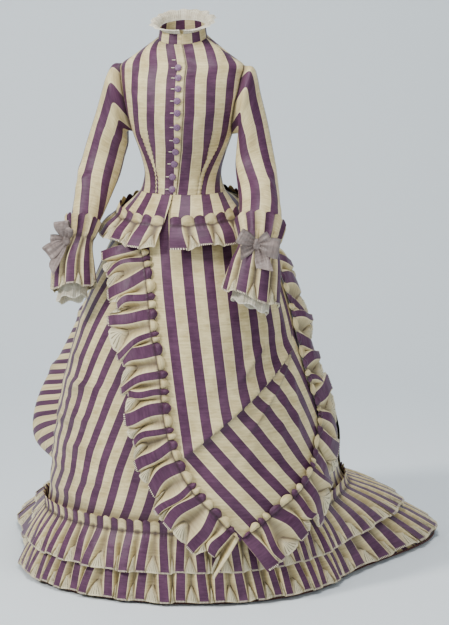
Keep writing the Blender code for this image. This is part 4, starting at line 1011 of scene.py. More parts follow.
def makeFlounces():
    for word, table, covered in (("Lower", lowerFlounce, False), ("Upper", upperFlounce, True)):
        for tag, start, end, waves in flounce["pieces"]:
            place = np.append(wavePlaces(waves, flounce["perWave"]), waves)
            x = place % 1
            t = np.linspace(0, 1, flounce["rows"])
            height = between(table[0, 0], table[-1, 0], t ** 0.95)
            height = np.sort(np.unique(np.append(height, table[:, 0])))
            base = np.interp(height, table[:, 0], table[:, 1])[:, None]
            depth = np.interp(height, table[:, 0], table[:, 2])[:, None]
            above = height[:, None] - table[0, 0]
            gatherAt = table[1, 0]
            first = start + seamGap(skirtPoint, start + 0 * height, height, 0.0005)
            last = end - seamGap(skirtPoint, end + 0 * height, height, 0.0005)
            loose = 1 - eased(above, 0.0, gatherAt - table[0, 0])
            free = eased(np.minimum(place, waves - place), 0.0, 0.8)
            drift = carried(place, -flounce["slant"], flounce["slant"], 3) * loose * free
            angle = between(first[:, None], last[:, None], (place[None, :] + drift) / waves)
            share = fannedShare(x[None, :], above, flounce["fan"]) * between(1.0,
                carried(place, 0.62, 1.05)[None, :], loose)
            crown = eased(height, gatherAt + 0.002, gatherAt + 0.009)[:, None] if covered else 0.0
            share = between(share, puffShare(place)[None, :] * 1.1, crown)
            if covered:
                depth = depth * coveredShare(angle)
            belly = 0.0045 * np.sin(np.clip(above / (gatherAt - table[0, 0]), 0, 1) * math.pi)
            crinkle = creaseLift(place[None, :] * 0.05 + 0 * angle, above + 0 * angle, flounceCreases(waves))
            out = base + depth * share + belly * share + crinkle
            out = out + fanForm(x[None, :], above, flounce["fan"]) * (coveredShare(angle) if covered else 1.0)
            out = out + puckers(height - gatherAt, 0.010, place, 0.0014)
            hang = flounce["scallop"] * carried(place, 0.0, 1.0, 8) + 0.002 * fannedShare(x, 0.0, flounce["fan"])
            level = height[:, None] + hang[None, :] * (1 - eased(above, 0.0, 0.05))
            level = level + crown * 0.008 * (puffShare(place) - 0.6)[None, :]
            out = np.maximum(out, 0.0022)
            grid = outward(skirtPoint, angle, level, out)
            # painted shade in the grooves and along the gathering line
            groove = (1 - fannedShare(x[None, :], above, flounce["fan"])) * carried(place, 0.45, 1.0, 9)[None, :]
            hollow = hollowed(0.85 * groove * (1 - crown), pinchShade(height[:, None] - gatherAt, place))
            cut = cutMap(place[None, :] * stripe["period"], above + 0 * angle)
            under = "skirt" + ("Side" if tag in ("Left", "Right") else "") + tag
            makeCloth("flounce" + word + tag, "flounce_" + word.lower() + "_" + tag.lower(), grid, cut, "flounce",
                      "gathered", [under], hollow=hollow)
    print("flounces made")


def flounceCreases(waves):  # short slanting creases on some of the flat crests
    rows = []
    for k in range(waves):
        shift = float(unevenAt(k, -0.006, 0.006, 5))
        lift = 0.0014 if k % 3 else -0.0012
        rows.append((k * 0.05 + 0.002, 0.060 + shift, k * 0.05 + 0.022, 0.052 + shift * 2, lift, 0.005))
    return rows


# Apron, its folds and its frills
apronEdgeRight = np.array([
    [33.8, 0.152], [30.3, 0.171], [26.8, 0.199], [22.5, 0.229], [18.8, 0.250], [15.0, 0.280], [11.8, 0.310],
    [8.8, 0.345], [6.6, 0.385], [4.4, 0.430], [3.0, 0.480], [2.0, 0.530], [-1.0, 0.590], [-4.6, 0.640],
    [-6.4, 0.690], [-9.6, 0.740], [-14.0, 0.790], [-22.0, 0.836],
])
apronEdgeLeft = np.array([
    [34.85, 0.152], [39.9, 0.166], [45.8, 0.188], [52.0, 0.212], [61.2, 0.236], [70.0, 0.262], [79.0, 0.290],
    [88.0, 0.322], [94.5, 0.358], [97.0, 0.400], [95.5, 0.440], [93.0, 0.490], [92.0, 0.550], [93.5, 0.610],
    [97.0, 0.680], [102.0, 0.750], [107.0, 0.800],
])
apron = {
    "top": 0.932, "columns": 110, "rows": 130, "out": 0.006, "topOut": 0.0024, "lowOut": 0.024, "rise": (0.225, 0.330),
    "slack": 0.003, "toRight": [[-27.0, 0.880], [-30.0, 0.932]], "toLeft": [[110.0, 0.870], [112.0, 0.932]],
    # folds as two ends: length round the skirt and height
    "longFold": (0.040, 0.318, 0.3623, 0.582), "shortFold": (0.196, 0.512, 0.262, 0.592),
        "sideFold": (0.2101, 0.374, 0.3595, 0.569),
    "foldLift": 0.0085, "foldWidth": 0.020,
}
apronFrill = {
    "rows": np.array([[0.088, 0.004, 0.024], [0.042, 0.004, 0.015], [0.0, 0.0022, 0.003], [-0.022, 0.0055, 0.010]]),
    "waves": 17, "perWave": 28, "perRow": 10, "pinch": 0.2, "ease": 14.0, "fan": 0.034, "droop": (0.006, 0.040),
    "swing": 0.026, "curl": 0.010, "widths": [1.0, 0.62, 1.36, 0.80, 1.18, 0.58, 1.42, 0.92, 0.70, 1.30, 0.66, 1.12,
        1.30, 0.64, 0.96, 1.22, 0.76],
}


def alongLine(line, share):
    share = np.asarray(share, float)
    steps = lengthAlong(line * [0.0050, 1.0])
    keys = steps / steps[-1]
    values = []
    for offset in (-0.02, 0.0, 0.02):
        place = np.clip(share + offset, 0.0, 1.0)
        values.append(np.stack([np.interp(place, keys, line[:, 0]), np.interp(place, keys, line[:, 1])]))
    ends = (share <= 0.0) | (share >= 1.0)
    return np.where(ends, values[1], np.mean(values, axis=0))


def apronOut(angle, height):
    out = between(apron["lowOut"], apron["out"], eased(height, *apron["rise"]))
    out = out + apron["slack"] * eased(-height, -0.83, -0.70)
    return between(out, apron["topOut"], eased(height, 0.83, apron["top"]))


def lineSide(across, height, fold):  # distance above the fold's line, and the place along it
    x0, y0, x1, y1 = fold
    run = np.array([x1 - x0, y1 - y0])
    length = np.linalg.norm(run)
    distance = ((height - y0) * run[0] - (across - x0) * run[1]) / length
    along = ((across - x0) * run[0] + (height - y0) * run[1]) / length**2
    return distance, along


def foldForm(distance, along, lift, width, fadeStart=0.0, fadeEnd=1.02):
    above = mound(np.maximum(distance, 0), width) - 0.35 * mound(distance - 2.6 * width, 1.2 * width)
    below = mound(np.minimum(distance, 0), 0.0022)
    fade = eased(along, fadeStart - 0.05, fadeStart + 0.10) * (1 - eased(along, fadeEnd - 0.06, fadeEnd + 0.02))
    return lift * np.where(distance >= 0, above, below) * fade


def makeApron():
    right = np.concatenate([apronEdgeRight, apron["toRight"]])
    left = np.concatenate([apronEdgeLeft, apron["toLeft"]])
    t = np.linspace(0, 1, apron["rows"])
    s = np.linspace(0, 1, apron["columns"])
    first, last = alongLine(right, t), alongLine(left, t)
    angle = between(first[0][:, None], last[0][:, None], s[None, :])
    height = between(first[1][:, None], last[1][:, None], s[None, :])
    inside = 4 * s * (1 - s)
    height = height - 0.006 * inside[None, :] * (1 - t[:, None])
    across = arcFrom(skirtArcs, angle, height)
    longSide, longAlong = lineSide(across, height, apron["longFold"])
    shortSide, shortAlong = lineSide(across, height, apron["shortFold"])
    sideSide, sideAlong = lineSide(across, height, apron["sideFold"])
    lift = foldForm(longSide, longAlong, apron["foldLift"], apron["foldWidth"])
    lift += foldForm(sideSide, sideAlong, apron["foldLift"] * 0.75, 0.014, 0.12)
    lift += foldForm(shortSide, shortAlong, apron["foldLift"] * 0.6, 0.012, 0.10) * (longSide > 0)
    lift += creaseLift(across, height, [
        (0.30, 0.500, 0.20, 0.300, 0.0030, 0.016), (0.33, 0.480, 0.30, 0.290, 0.0036, 0.014),
            (0.25, 0.400, 0.16, 0.270, -0.0020, 0.014),
        (0.36, 0.530, 0.38, 0.360, 0.0034, 0.012), (0.10, 0.420, 0.16, 0.470, 0.0016, 0.012),
            (0.06, 0.60, 0.09, 0.50, 0.0014, 0.014),
        (0.10, 0.72, 0.13, 0.62, 0.0012, 0.014), (0.30, 0.72, 0.34, 0.60, 0.0030, 0.012),
            (0.33, 0.76, 0.38, 0.64, -0.0020, 0.012),
        (0.24, 0.66, 0.32, 0.60, 0.0024, 0.010), (0.20, 0.36, 0.14, 0.30, 0.0018, 0.010),
            (0.14, 0.30, 0.22, 0.22, 0.0020, 0.012),
    ])
    lift = np.maximum(lift, -0.0022) * np.minimum(1.0, inside * 2.5)[None, :] * (1 - eased(height, 0.84, 0.90))
    grid = outward(skirtPoint, angle, height, apronOut(angle, height) + lift)
    centre = stripe["purple"] / 2 * stripe["period"]
    above = (across - 0.183 * (0.808 - height) - 0.001) * stripe["period"] / 0.0497 + centre
    below = 0.744 * across + 0.668 * height - 0.2986 + centre + 0.004 * eased(sideSide, -0.004,
        0.004) * eased(sideAlong, 0.1, 0.5)
    # painted shade under the apron's folds and along their lines
    dark = np.zeros_like(across)
    for distance, along, deep in ((longSide, longAlong, 0.60), (sideSide, sideAlong, 0.50),
            (shortSide, shortAlong, 0.40)):
        inFold = eased(along, 0.0, 0.25) * (1 - eased(along, 0.94, 1.04))
        dark = dark + deep * np.where(distance < 0, mound(distance, 0.007), mound(distance, 0.0012)) * inFold
    makeCloth("apronPanel", "apron", grid, cutMap(across, height), "apron", "draped", ["skirtFront", "skirtSideLeft"],
              cutAbove=above, cutBelow=below, foldSide=longSide, hollow=hollowed(dark))
    print("apron made")


def makeFrill(name, node, line, phase):
    waves = apronFrill["waves"]
    place = np.append(wavePlaces(waves, apronFrill["perWave"]), waves)
    x = place % 1
    ends = np.concatenate([[0], np.cumsum(apronFrill["widths"])])
    share = np.interp(place, np.arange(waves + 1), ends / ends[-1])
    angle, height = alongLine(line, share)
    before, after = alongLine(line, np.maximum(share - 0.012, 0)), alongLine(line, np.minimum(share + 0.012, 1))
    perDegree = np.linalg.norm(skirtPoint(angle + 0.5, height) - skirtPoint(angle - 0.5, height), axis=1)
    perMetre = np.linalg.norm(skirtPoint(angle, height + 0.005) - skirtPoint(angle, height - 0.005), axis=1) / 0.01
    run = np.stack([(after[0] - before[0]) * perDegree, (after[1] - before[1]) * perMetre])
    run /= np.linalg.norm(run, axis=0)
    aside = np.stack([run[1], -run[0]])
    base = apronOut(angle, height)
    pinch = np.minimum(1.0, apronFrill["pinch"] + apronFrill["ease"] * np.minimum(share, 1 - share))
    table = apronFrill["rows"]
    keys = np.linspace(0, len(table) - 1, (len(table) - 1) * apronFrill["perRow"] + 1)
    fine = np.stack([np.interp(keys, np.arange(len(table)), table[:, k]) for k in range(3)], axis=1)
    above = fine[0, 0] - fine[:, 0][:, None]
    loose = np.clip(fine[:, 0] / fine[0, 0], 0, 1)[:, None]
    crown = np.clip(-fine[:, 0] / -table[-1, 0], 0, 1)[:, None]  # 0 at the gathering line, 1 at the heading's edge
    puff = puffShare(place)[None, :]
    shareOut = fannedShare(x[None, :], above, apronFrill["fan"])
    reach = fine[:, 0][:, None] * np.where(fine[:, 0][:, None] < 0, pinch[None, :] * between(0.45, 1.0, puff), 1.0)
    reach = np.where(reach > 0, reach * between(1.0, (carried(place, 0.70, 1.04, 2) * (0.86 + 0.14 * shareOut)),
        loose), reach)
    droop = loose ** 1.5 * carried(place, *apronFrill["droop"], 5)[None, :] * np.abs(aside[0])[None, :]
    swing = loose * carried(place, -apronFrill["swing"], apronFrill["swing"], 4)[None, :]
    swing = swing + apronFrill["curl"] * np.sin(loose * 4.2 + 2.3 * carried(place, 0.0, 2.0, 10)[None, :]) * loose
    swing = swing * eased(np.minimum(share, 1 - share), 0.0, 0.06)
    a = angle[None, :] + (aside[0][None, :] * reach + run[0][None, :] * swing) / perDegree[None, :]
    h = height[None, :] + (aside[1][None, :] * reach + run[1][None, :] * swing) / perMetre[None, :] - droop
    h = np.maximum(h, 0.02)
    out = base[None, :] + fine[:, 1][:, None] * (1 - 0.3 * crown)
    out = out + fine[:, 2][:, None] * np.where(crown > 0, 0.2, 1.0) * shareOut * between(1.0,
        carried(place, 0.55, 1.1, 6)[None, :], loose)
    out = out + 0.0125 * puff * np.sin(crown * math.pi) ** 0.7 + 0.004 * np.sin(loose * math.pi) * shareOut
    out = out + fanForm(x[None, :], above, apronFrill["fan"])
    out = out + creaseLift(place[None, :] * 0.05 + 0 * a, above + 0 * a, flounceCreases(waves)) * (crown <= 0)
    out = out + puckers(fine[:, 0], 0.008, place, 0.0014)
    grid = outward(skirtPoint, a, h, out)
    # painted shade in the grooves and along the gathering line
    groove = (1 - shareOut) * carried(place, 0.5, 1.0, 9)[None, :] * (crown <= 0)
    hollow = hollowed(0.85 * groove, pinchShade(-fine[:, 0][:, None], place) * pinch[None, :])
    cut = cutMap(place[None, :] * stripe["period"] + phase, above + 0 * a)
    makeCloth(name, node, grid, cut, "frill", "gathered", ["apronPanel"], hollow=hollow)


def makeApronFrills():
    makeFrill("apronFrillRight", "apron_frill_right", apronEdgeRight[::-1], 0.0)
    makeFrill("apronFrillLeft", "apron_frill_left", apronEdgeLeft, 0.0)
    print("apron frills made")


# Peplum
peplum = {
    "outTop": 0.009, "outEdge": 0.021, "gatherFront": 0.868, "gatherBack": 0.903, "openTop": 0.4, "openSlope": 34.0,
        "seam": 104.0,
    "frill": np.array([[-0.052, 0.027, 0.015], [0.0, 0.0226, 0.003], [0.018, 0.0265, 0.008]]), "fan": 0.034,
}


def peplumGather(angle):
    return between(peplum["gatherFront"], peplum["gatherBack"], (1 - np.cos(np.radians(angle))) / 2)


def openingTurn(height):
    return peplum["openTop"] + peplum["openSlope"] * (bodice["waist"] - height)


def makePeplum():
    seam = peplum["seam"]
    pieces = (
        ("peplumFrontRight", "peplum_front_right", "peplumFrillRight", "peplum_frill_right", -seam, -1, 60, 5),
        ("peplumFrontLeft", "peplum_front_left", "peplumFrillLeft", "peplum_frill_left", 1, seam, 60, 5),
        ("peplumBack", "peplum_back", "peplumFrillBack", "peplum_frill_back", seam, 360 - seam, 80, 8),
    )
    for name, node, frillName, frillNode, start, end, columns, waves in pieces:
        t = np.linspace(0, 1, 22)
        height = between(peplum["gatherFront"], bodice["waist"], t)
        first = openingTurn(height) if start == 1 else start + 0.12 + 0 * height
        last = -openingTurn(height) if end == -1 else end - 0.12 + 0 * height
        angle = between(first[:, None], last[:, None], np.linspace(0, 1, columns)[None, :])
        gather = peplumGather(angle)
        level = between(gather, 0.940, np.minimum(t, 0.999)[:, None])
        below = outward(skirtPoint, angle, level, between(peplum["outEdge"], peplum["outTop"], t)[:, None] + 0 * angle)
        top = torsoPoint(angle, bodice["waist"] + 0 * angle) - np.array([0, 0, 0.0004])
        mix = eased(t, 0.72, 1.0)[:, None, None]
        grid = below * (1 - mix) + top * mix
        across = arcFrom(torsoArcs, angle, np.full_like(angle, bodice["waist"])) * between(1.28, 1.0, t[:, None])
        makeCloth(name, node, grid, cutMap(across + 0.030, level), "silk", "draped", ["skirtFront", "apronPanel"])
        table = peplum["frill"]
        keys = np.linspace(0, 2, 23)
        fine = np.stack([np.interp(keys, np.arange(3), table[:, k]) for k in range(3)], axis=1)
        place = np.append(wavePlaces(waves, 28), waves)
        x = place % 1
        height = peplum["gatherFront"] + fine[:, 0]
        first = openingTurn(height) if start == 1 else start + 0.25 + 0 * height
        last = -openingTurn(height) if end == -1 else end - 0.25 + 0 * height
        above = fine[:, 0][:, None] - table[0, 0]
        loose = 1 - eased(above, 0.0, 0.05)
        drift = carried(place, -0.18, 0.18, 6) * eased(np.minimum(place, waves - place), 0.0, 0.8)
        angle = between(first[:, None], last[:, None], (place + drift * loose) / waves)
        crown = np.clip(fine[:, 0] / table[-1, 0], 0, 1)[:, None]
        puff = puffShare(place)[None, :]
        share = fannedShare(x[None, :], above, peplum["fan"]) * between(1.0, carried(place, 0.65, 1.05, 3)[None, :],
            loose)
        out = fine[:, 1][:, None] + fine[:, 2][:, None] * between(share, puff, eased(crown, 0.0, 0.4))
        out = out + fanForm(x[None, :], above, peplum["fan"]) + 0.003 * np.sin(loose * math.pi) * share
        out = out + puckers(fine[:, 0], 0.007, place, 0.0012)
        level = peplumGather(angle) + fine[:, 0][:, None] + 0.004 * share * (1 - eased(above, 0.0, 0.02))
        level = level + 0.005 * (puff - 0.6) * crown + (carried(place, -0.005, 0.003, 1) * loose)
        grid = outward(skirtPoint, angle, level, out)
        # painted shade in the grooves and along the gathering line
        groove = (1 - fannedShare(x[None, :], above, peplum["fan"])) * (crown <= 0)
        hollow = hollowed(0.8 * groove, pinchShade(fine[:, 0][:, None], place))
        cut = cutMap(place[None, :] * stripe["period"], above + 0 * angle)
        makeCloth(frillName, frillNode, grid, cut, "frill", "gathered", [name], hollow=hollow)
    print("peplum made")


# Back drape
drape = {
    "rows": np.array([
        [0.206, 0.0090], [0.226, 0.058], [0.266, 0.094], [0.325, 0.100], [0.395, 0.088], [0.470, 0.064], [0.560, 0.044],
        [0.650, 0.032], [0.740, 0.024], [0.820, 0.017], [0.880, 0.014], [0.918, 0.0024],
    ]),
    "start": 121.0, "end": 264.0, "folds": 8, "depth": 0.010, "edgeOut": 0.0065, "ease": (46.0, 12.0),
        "columns": 150, "levels": 84,
}


def makeDrape():
    height = np.linspace(drape["rows"][0, 0], drape["rows"][-1, 0], drape["levels"])
    rowOut = tableAt(drape["rows"], height)[1]
    s = np.linspace(0, 1, drape["columns"])
    angle = np.repeat(between(drape["start"], drape["end"], s)[None, :], len(height), axis=0)
    level = np.repeat(height[:, None], len(s), axis=1)
    ease = eased(angle, drape["start"], drape["start"] + drape["ease"][0])
    ease = ease * (1 - eased(angle, drape["end"] - drape["ease"][1], drape["end"]))
    turns = 2 * math.pi * drape["folds"] * s[None, :]
    fold = drape["depth"] * (0.5 - 0.5 * np.cos(turns))
    full = np.maximum(rowOut - drape["edgeOut"], 0.0)[:, None]
    share = np.minimum(1.0, full / 0.02)
    across = arcFrom(skirtArcs, angle, level)
    gathers = [
        (0.56, 0.42, 0.72, 0.50, 0.006, 0.012), (0.62, 0.34, 0.80, 0.38, 0.005, 0.012),
            (0.88, 0.52, 0.98, 0.40, 0.006, 0.014),
        (1.02, 0.36, 1.14, 0.44, 0.006, 0.012), (0.70, 0.62, 0.82, 0.70, 0.005, 0.014),
            (0.95, 0.66, 1.08, 0.60, 0.005, 0.014),
        (1.05, 0.52, 1.15, 0.60, 0.005, 0.012), (0.75, 0.46, 0.92, 0.45, -0.003, 0.012),
        (0.58, 0.72, 0.86, 0.58, 0.008, 0.013), (0.60, 0.52, 0.88, 0.40, 0.008, 0.013),
            (1.15, 0.74, 0.90, 0.52, 0.008, 0.013),
        (1.16, 0.46, 0.94, 0.33, 0.007, 0.013), (1.16, 0.62, 0.98, 0.47, 0.006, 0.011),
            (0.57, 0.61, 0.76, 0.52, 0.006, 0.011),
    ]
    creases = creaseLift(angle * 0.0045, level, gathers)
    out = np.minimum(drape["edgeOut"], rowOut)[:, None] + (full + fold * share + creases * share) * ease
    # painted shadow under the gathers, and painted shade along the seams and in the troughs of the folds
    under = np.clip(creaseLift(angle * 0.0045, level + 0.009, gathers), 0, 0.007)
    seams = mound(angle - drape["start"], 1.5) + mound(angle - drape["end"], 1.5)
    hollow = hollowed(60.0 * under * ease, 0.5 * seams, 0.30 * ease * (0.5 + 0.5 * np.cos(turns)) ** 8)
    grid = outward(skirtPoint, angle, level, out)
    middle = arcFrom(skirtArcs, 192.5 + 0 * angle, level)
    sag = 0.24 * (1 - ((across - middle) / 0.45) ** 2)  # the stripes lie across the back and sag in the middle
    cut = cutMap(level * 1.35 + sag, across)
    makeCloth("backDrape", "back_drape", grid, cut, "silk", "gathered", ["skirtBack"], hollow=hollow)
    print("drape made")


# Buttons and buttonholes
buttonTable = np.array([
    [1.250, 4.0], [1.227, 5.1], [1.202, 6.0], [1.174, 6.3], [1.146, 7.1], [1.112, 7.1], [1.080, 6.3], [1.052, 4.6],
    [1.022, 2.3], [0.990, -1.0], [0.960, -1.2],
])
button = {"radius": 0.0086, "gap": 0.0008}


def buttonLook():
    material, tree, shader = newLook("purpleButton")
    place = tree.nodes.new("ShaderNodeTexCoord").outputs["Object"]
    fine = noiseNode(tree, place, 700.0, 2.0)
    colour = mixNode(tree, rampNode(tree, fine, 0.35, 0.65), (0.125, 0.058, 0.125), (0.260, 0.145, 0.255))
    shader.inputs["Roughness"].default_value = 0.42
    shader.inputs["Sheen Weight"].default_value = 0.08
    finishCloth(tree, shader, colour, fine, 0.3, 0.0005)
    return material


def modelButton():  # a disc drawn in at the foot, domed and rimmed
    selectNothing()
    bpy.ops.mesh.primitive_cylinder_add(vertices=28, radius=button["radius"] * 0.86, depth=0.0016,
        location=(0, 0, 0.0008))
    piece = bpy.context.active_object
    bpy.ops.object.mode_set(mode="EDIT")
    bpy.ops.mesh.select_all(action="DESELECT")
    bpy.ops.object.mode_set(mode="OBJECT")
    for face in piece.data.polygons:
        face.select = face.normal.z > 0.9
    bpy.ops.object.mode_set(mode="EDIT")
    for rise, scale in ((0.0006, 1.16), (0.0014, 0.97), (0.0012, 0.84), (0.0007, 0.62), (0.0003, 0.30)):
        bpy.ops.mesh.extrude_region_move(TRANSFORM_OT_translate={"value": (0, 0, rise)})
        bpy.ops.transform.resize(value=(scale, scale, 1.0))
    # extruding adds faces in no fixed order, so they are put in one, from a place off the axis
    bpy.ops.mesh.select_all(action="SELECT")
    bpy.context.scene.cursor.location = (0.031, 0.017, 0.050)
    bpy.ops.mesh.sort_elements(type="CURSOR_DISTANCE", elements={"VERT", "EDGE", "FACE"})
    bpy.context.scene.cursor.location = (0, 0, 0)
    bpy.ops.object.mode_set(mode="OBJECT")
    bpy.ops.object.shade_smooth_by_angle(angle=math.radians(50))
    return piece


def spotOnFront(angle, height):  # the place on the front, and directions right, out and up
    centre = torsoPoint(angle, height)
    normal = outward(torsoPoint, angle, height, 1.0) - centre
    right = np.cross([0, 0, 1.0], normal)
    right /= np.linalg.norm(right)
    return centre, right, normal, np.cross(normal, right)


def makeButtons():
    pattern = modelButton()
    shape = np.array([v.co for v in pattern.data.vertices])
    covering = buttonLook()
    thread = plainLook("creamThread", 900.0, 1.0, (0.60, 0.52, 0.36), (0.85, 0.79, 0.60), 0.6)
    for number, (height, angle) in enumerate(buttonTable, start=1):
        piece = bpy.data.objects.new("button%02d" % number, pattern.data.copy())
        bpy.context.scene.collection.objects.link(piece)
        centre, right, normal, up = spotOnFront(np.array(angle), np.array(height))
        places = centre + normal * (button["gap"] + shape[:, 2:3]) + right * shape[:, 0:1] + up * shape[:, 1:2]
        places[:, 2] -= wearHeight
        piece.data.vertices.foreach_set("co", places.reshape(-1))
        piece.data.update()
        piece.data.materials.clear()
        piece.data.materials.append(covering)
        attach(piece, "root")
        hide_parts("button_%02d" % number)
    bpy.data.objects.remove(pattern, do_unlink=True)
    selectNothing()
    points, faces = [], []
    for height, angle in list(buttonTable) + [[1.272, 4.5]]:
        centre, right, normal, up = spotOnFront(np.array(angle), np.array(height))
        spine = centre + right * -0.0128 + normal * 0.0010
        rings, sides = 9, 8
        for k in range(rings):
            along = between(-0.0050, 0.0050, k / (rings - 1))
            fat = math.sqrt(max(0.02, 1 - (2 * k / (rings - 1) - 1) ** 4))
            for n in range(sides):
                t = 2 * math.pi * n / sides
                points.append(spine + right * along + normal * 0.0007 * fat * math.cos(t) + up * 0.0011 * fat * math.sin(t))
        base = len(points) - rings * sides
        for k in range(rings - 1):
            for n in range(sides):
                m = (n + 1) % sides
                faces.append((base + k * sides + n, base + k * sides + m, base + (k + 1) * sides + m,
                    base + (k + 1) * sides + n))
        faces.append(tuple(base + n for n in range(sides))[::-1])
        faces.append(tuple(base + (rings - 1) * sides + n for n in range(sides)))
    mesh = bpy.data.meshes.new("buttonholes")
    mesh.from_pydata([(p[0], p[1], p[2] - wearHeight) for p in points], [], faces)
    holes = bpy.data.objects.new("buttonholes", mesh)
    bpy.context.scene.collection.objects.link(holes)
    mesh.materials.append(thread)
    faceOut(holes)
    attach(holes, "root")
    print("buttons made")


def faceOut(piece):
    selectOnly(piece)
    bpy.ops.object.mode_set(mode="EDIT")
    bpy.ops.mesh.select_all(action="SELECT")
    bpy.ops.mesh.normals_make_consistent(inside=False)
    bpy.ops.object.mode_set(mode="OBJECT")
    bpy.ops.object.shade_smooth_by_angle(angle=math.radians(60))


# Bows: loops and loose ends about a knot, each by its turn in the bow's plane, length, width, puff and lean
bows = {
    "Right": {"place": (-0.2400, -0.1722, 0.842), "facing": -18.0, "parts": (
        (100.0, 0.046, 0.042, 0.012, 0.30), (226.0, 0.046, 0.040, 0.012, 0.88), (262.0, 0.068, 0.030, 0.0, 0.90),
        (68.0, 0.036, 0.028, 0.009, 0.45), (185.0, 0.034, 0.030, 0.008, 0.70))},
    "Left": {"place": (0.2400, -0.2320, 0.858), "facing": 8.0, "parts": (
        (152.0, 0.046, 0.036, 0.011, 0.28), (350.0, 0.054, 0.048, 0.012, 0.38), (290.0, 0.060, 0.036, 0.0, 0.50),
        (208.0, 0.042, 0.030, 0.0, 0.55), (30.0, 0.036, 0.030, 0.009, 0.45))},
}
ribbon = {"knotWide": 0.010, "knotTall": 0.013, "crease": 0.0024, "wall": 0.0007}


def bowPart(turn, length, width, puff, lean):  # reach, height over the cuff and place across, row by row
    w = np.linspace(-1, 1, 25)[None, :]
    if puff:
        way = np.linspace(0.10, 2 * math.pi - 0.10, 25)[:, None]
        reach = (1 - np.cos(way)) / 2
        lift = puff * np.where(way < math.pi, np.sin(way), 0.15 * np.sin(way)) * (1 - 0.25 * w * w)
    else:
        reach = np.linspace(0, 1, 20)[:, None]
        lift = 0.003 * np.sin(reach * 6.0 + turn) * reach
    half = width / 2 * (0.24 + 0.76 * np.sin(np.minimum(reach * 1.2, 1.0) * math.pi / 2))
    if not puff:
        reach = reach * (1 + 0.16 * eased(reach, 0.6, 1.0) * w)  # the loose end is cut on the slant
    lift = lift + ribbon["crease"] * np.cos(w * 7.5 + turn) * (1 - 0.75 * reach) * eased(reach, 0.02, 0.2)
    lift = lift + 0.0012 * np.sin(w * 4.0 + reach * 5.0 + turn)
    return length * reach + 0 * w, lean * length * reach + lift, half * w


def makeBow(word):
    bow = bows[word]
    facing = math.radians(bow["facing"])
    normal, up = np.array([math.sin(facing), -math.cos(facing), 0.0]), np.array([0.0, 0.0, 1.0])
    right = np.cross(up, normal)
    origin = np.array(bow["place"])
    points, faces, cut = [], [], []

    def addGrid(grid, uv, closed):
        rows, columns = grid.shape[:2]
        quads = gridFaces(rows, columns, closed).reshape(-1, 4)
        faces.append(quads + sum(len(p) for p in points))
        points.append(grid.reshape(-1, 3))
        cut.append(uv.reshape(-1, 2)[quads])
        return areaOf(points[-1][quads])

    area, long = 0.0, 0.0
    for turn, length, width, puff, lean in bow["parts"]:
        t = math.radians(turn)
        along, across = right * math.cos(t) + up * math.sin(t), up * math.cos(t) - right * math.sin(t)
        reach, lift, aside = bowPart(turn, length, width, puff, lean)
        grid = origin + along * reach[..., None] + normal * lift[..., None] + across * aside[..., None]
        area += addGrid(grid, cutMap(aside, reach), False)
        long += length * (2 if puff else 1)
    q = np.linspace(-0.93, 0.93, 13)[:, None]
    t = np.linspace(0, 2 * math.pi, 32, endpoint=False)[None, :]
    thin = np.sqrt(1 - q * q) * (1 + 0.12 * np.sin(4 * t + q * 3))
    knot = origin + right * (ribbon["knotWide"] * thin * np.cos(t))[...,
        None] + normal * (0.007 + 0.008 * thin * np.sin(t))[..., None]
    knot = knot + up * (ribbon["knotTall"] * q + 0 * t)[..., None]
    knotArea = addGrid(knot, cutMap(0.01 * t + 0 * q, 0.02 * q + 0 * t), True)
    piece = objectFrom("cuffBow" + word, np.concatenate(points) - [0, 0, wearHeight], np.concatenate(faces),
        np.concatenate(cut), "taupe")
    giveWall(piece, ribbon["wall"])
    long += knotArea / 0.04
    declare(piece, "cuff_bow_" + word.lower())


def makeBows():
    makeBow("Right")
    makeBow("Left")
    print("bows made")


# Braid round the very edge of the hem
def makeBraid():
    material = plainLook("hemBraid", 500.0, 2.0, (0.060, 0.020, 0.018), (0.150, 0.055, 0.045), 0.8)
    angle = np.linspace(0, 360, 720, endpoint=False)
    rows = []
    for t in np.radians(np.arange(0, 360, 60) + 15.0):
        level, out = 0.0036 + 0.0019 * math.sin(t), 0.0042 + 0.0016 * math.cos(t)
        rows.append(outward(skirtPoint, (angle + 180) % 360 - 180, level + 0 * angle, out + 0 * angle))
    points = np.array(rows).reshape(-1, 3) - [0, 0, wearHeight]
    count = len(angle)
    faces = []
    for i in range(len(rows)):
        k = (i + 1) % len(rows)
        for j in range(count):
            m = (j + 1) % count
            faces.append((i * count + j, i * count + m, k * count + m, k * count + j))
    braid = objectFrom("hemBraid", points, np.array(faces))
    braid.data.materials.append(material)
    faceOut(braid)
    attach(braid, "root")
    print("braid made")


# Stage, light and camera
camera = {
    "azimuth": 14.0, "elevation": 10.0, "distance": 6.5, "perPixel": 0.00245, "frame": (449, 625), "axisPixel": 183.5,
    "lookHeight": 0.645,
}
stage = {"before": 6.0, "behind": 2.2, "bend": 1.4, "tall": 6.0, "wide": 7.0}  # a floor that bends up into a wall


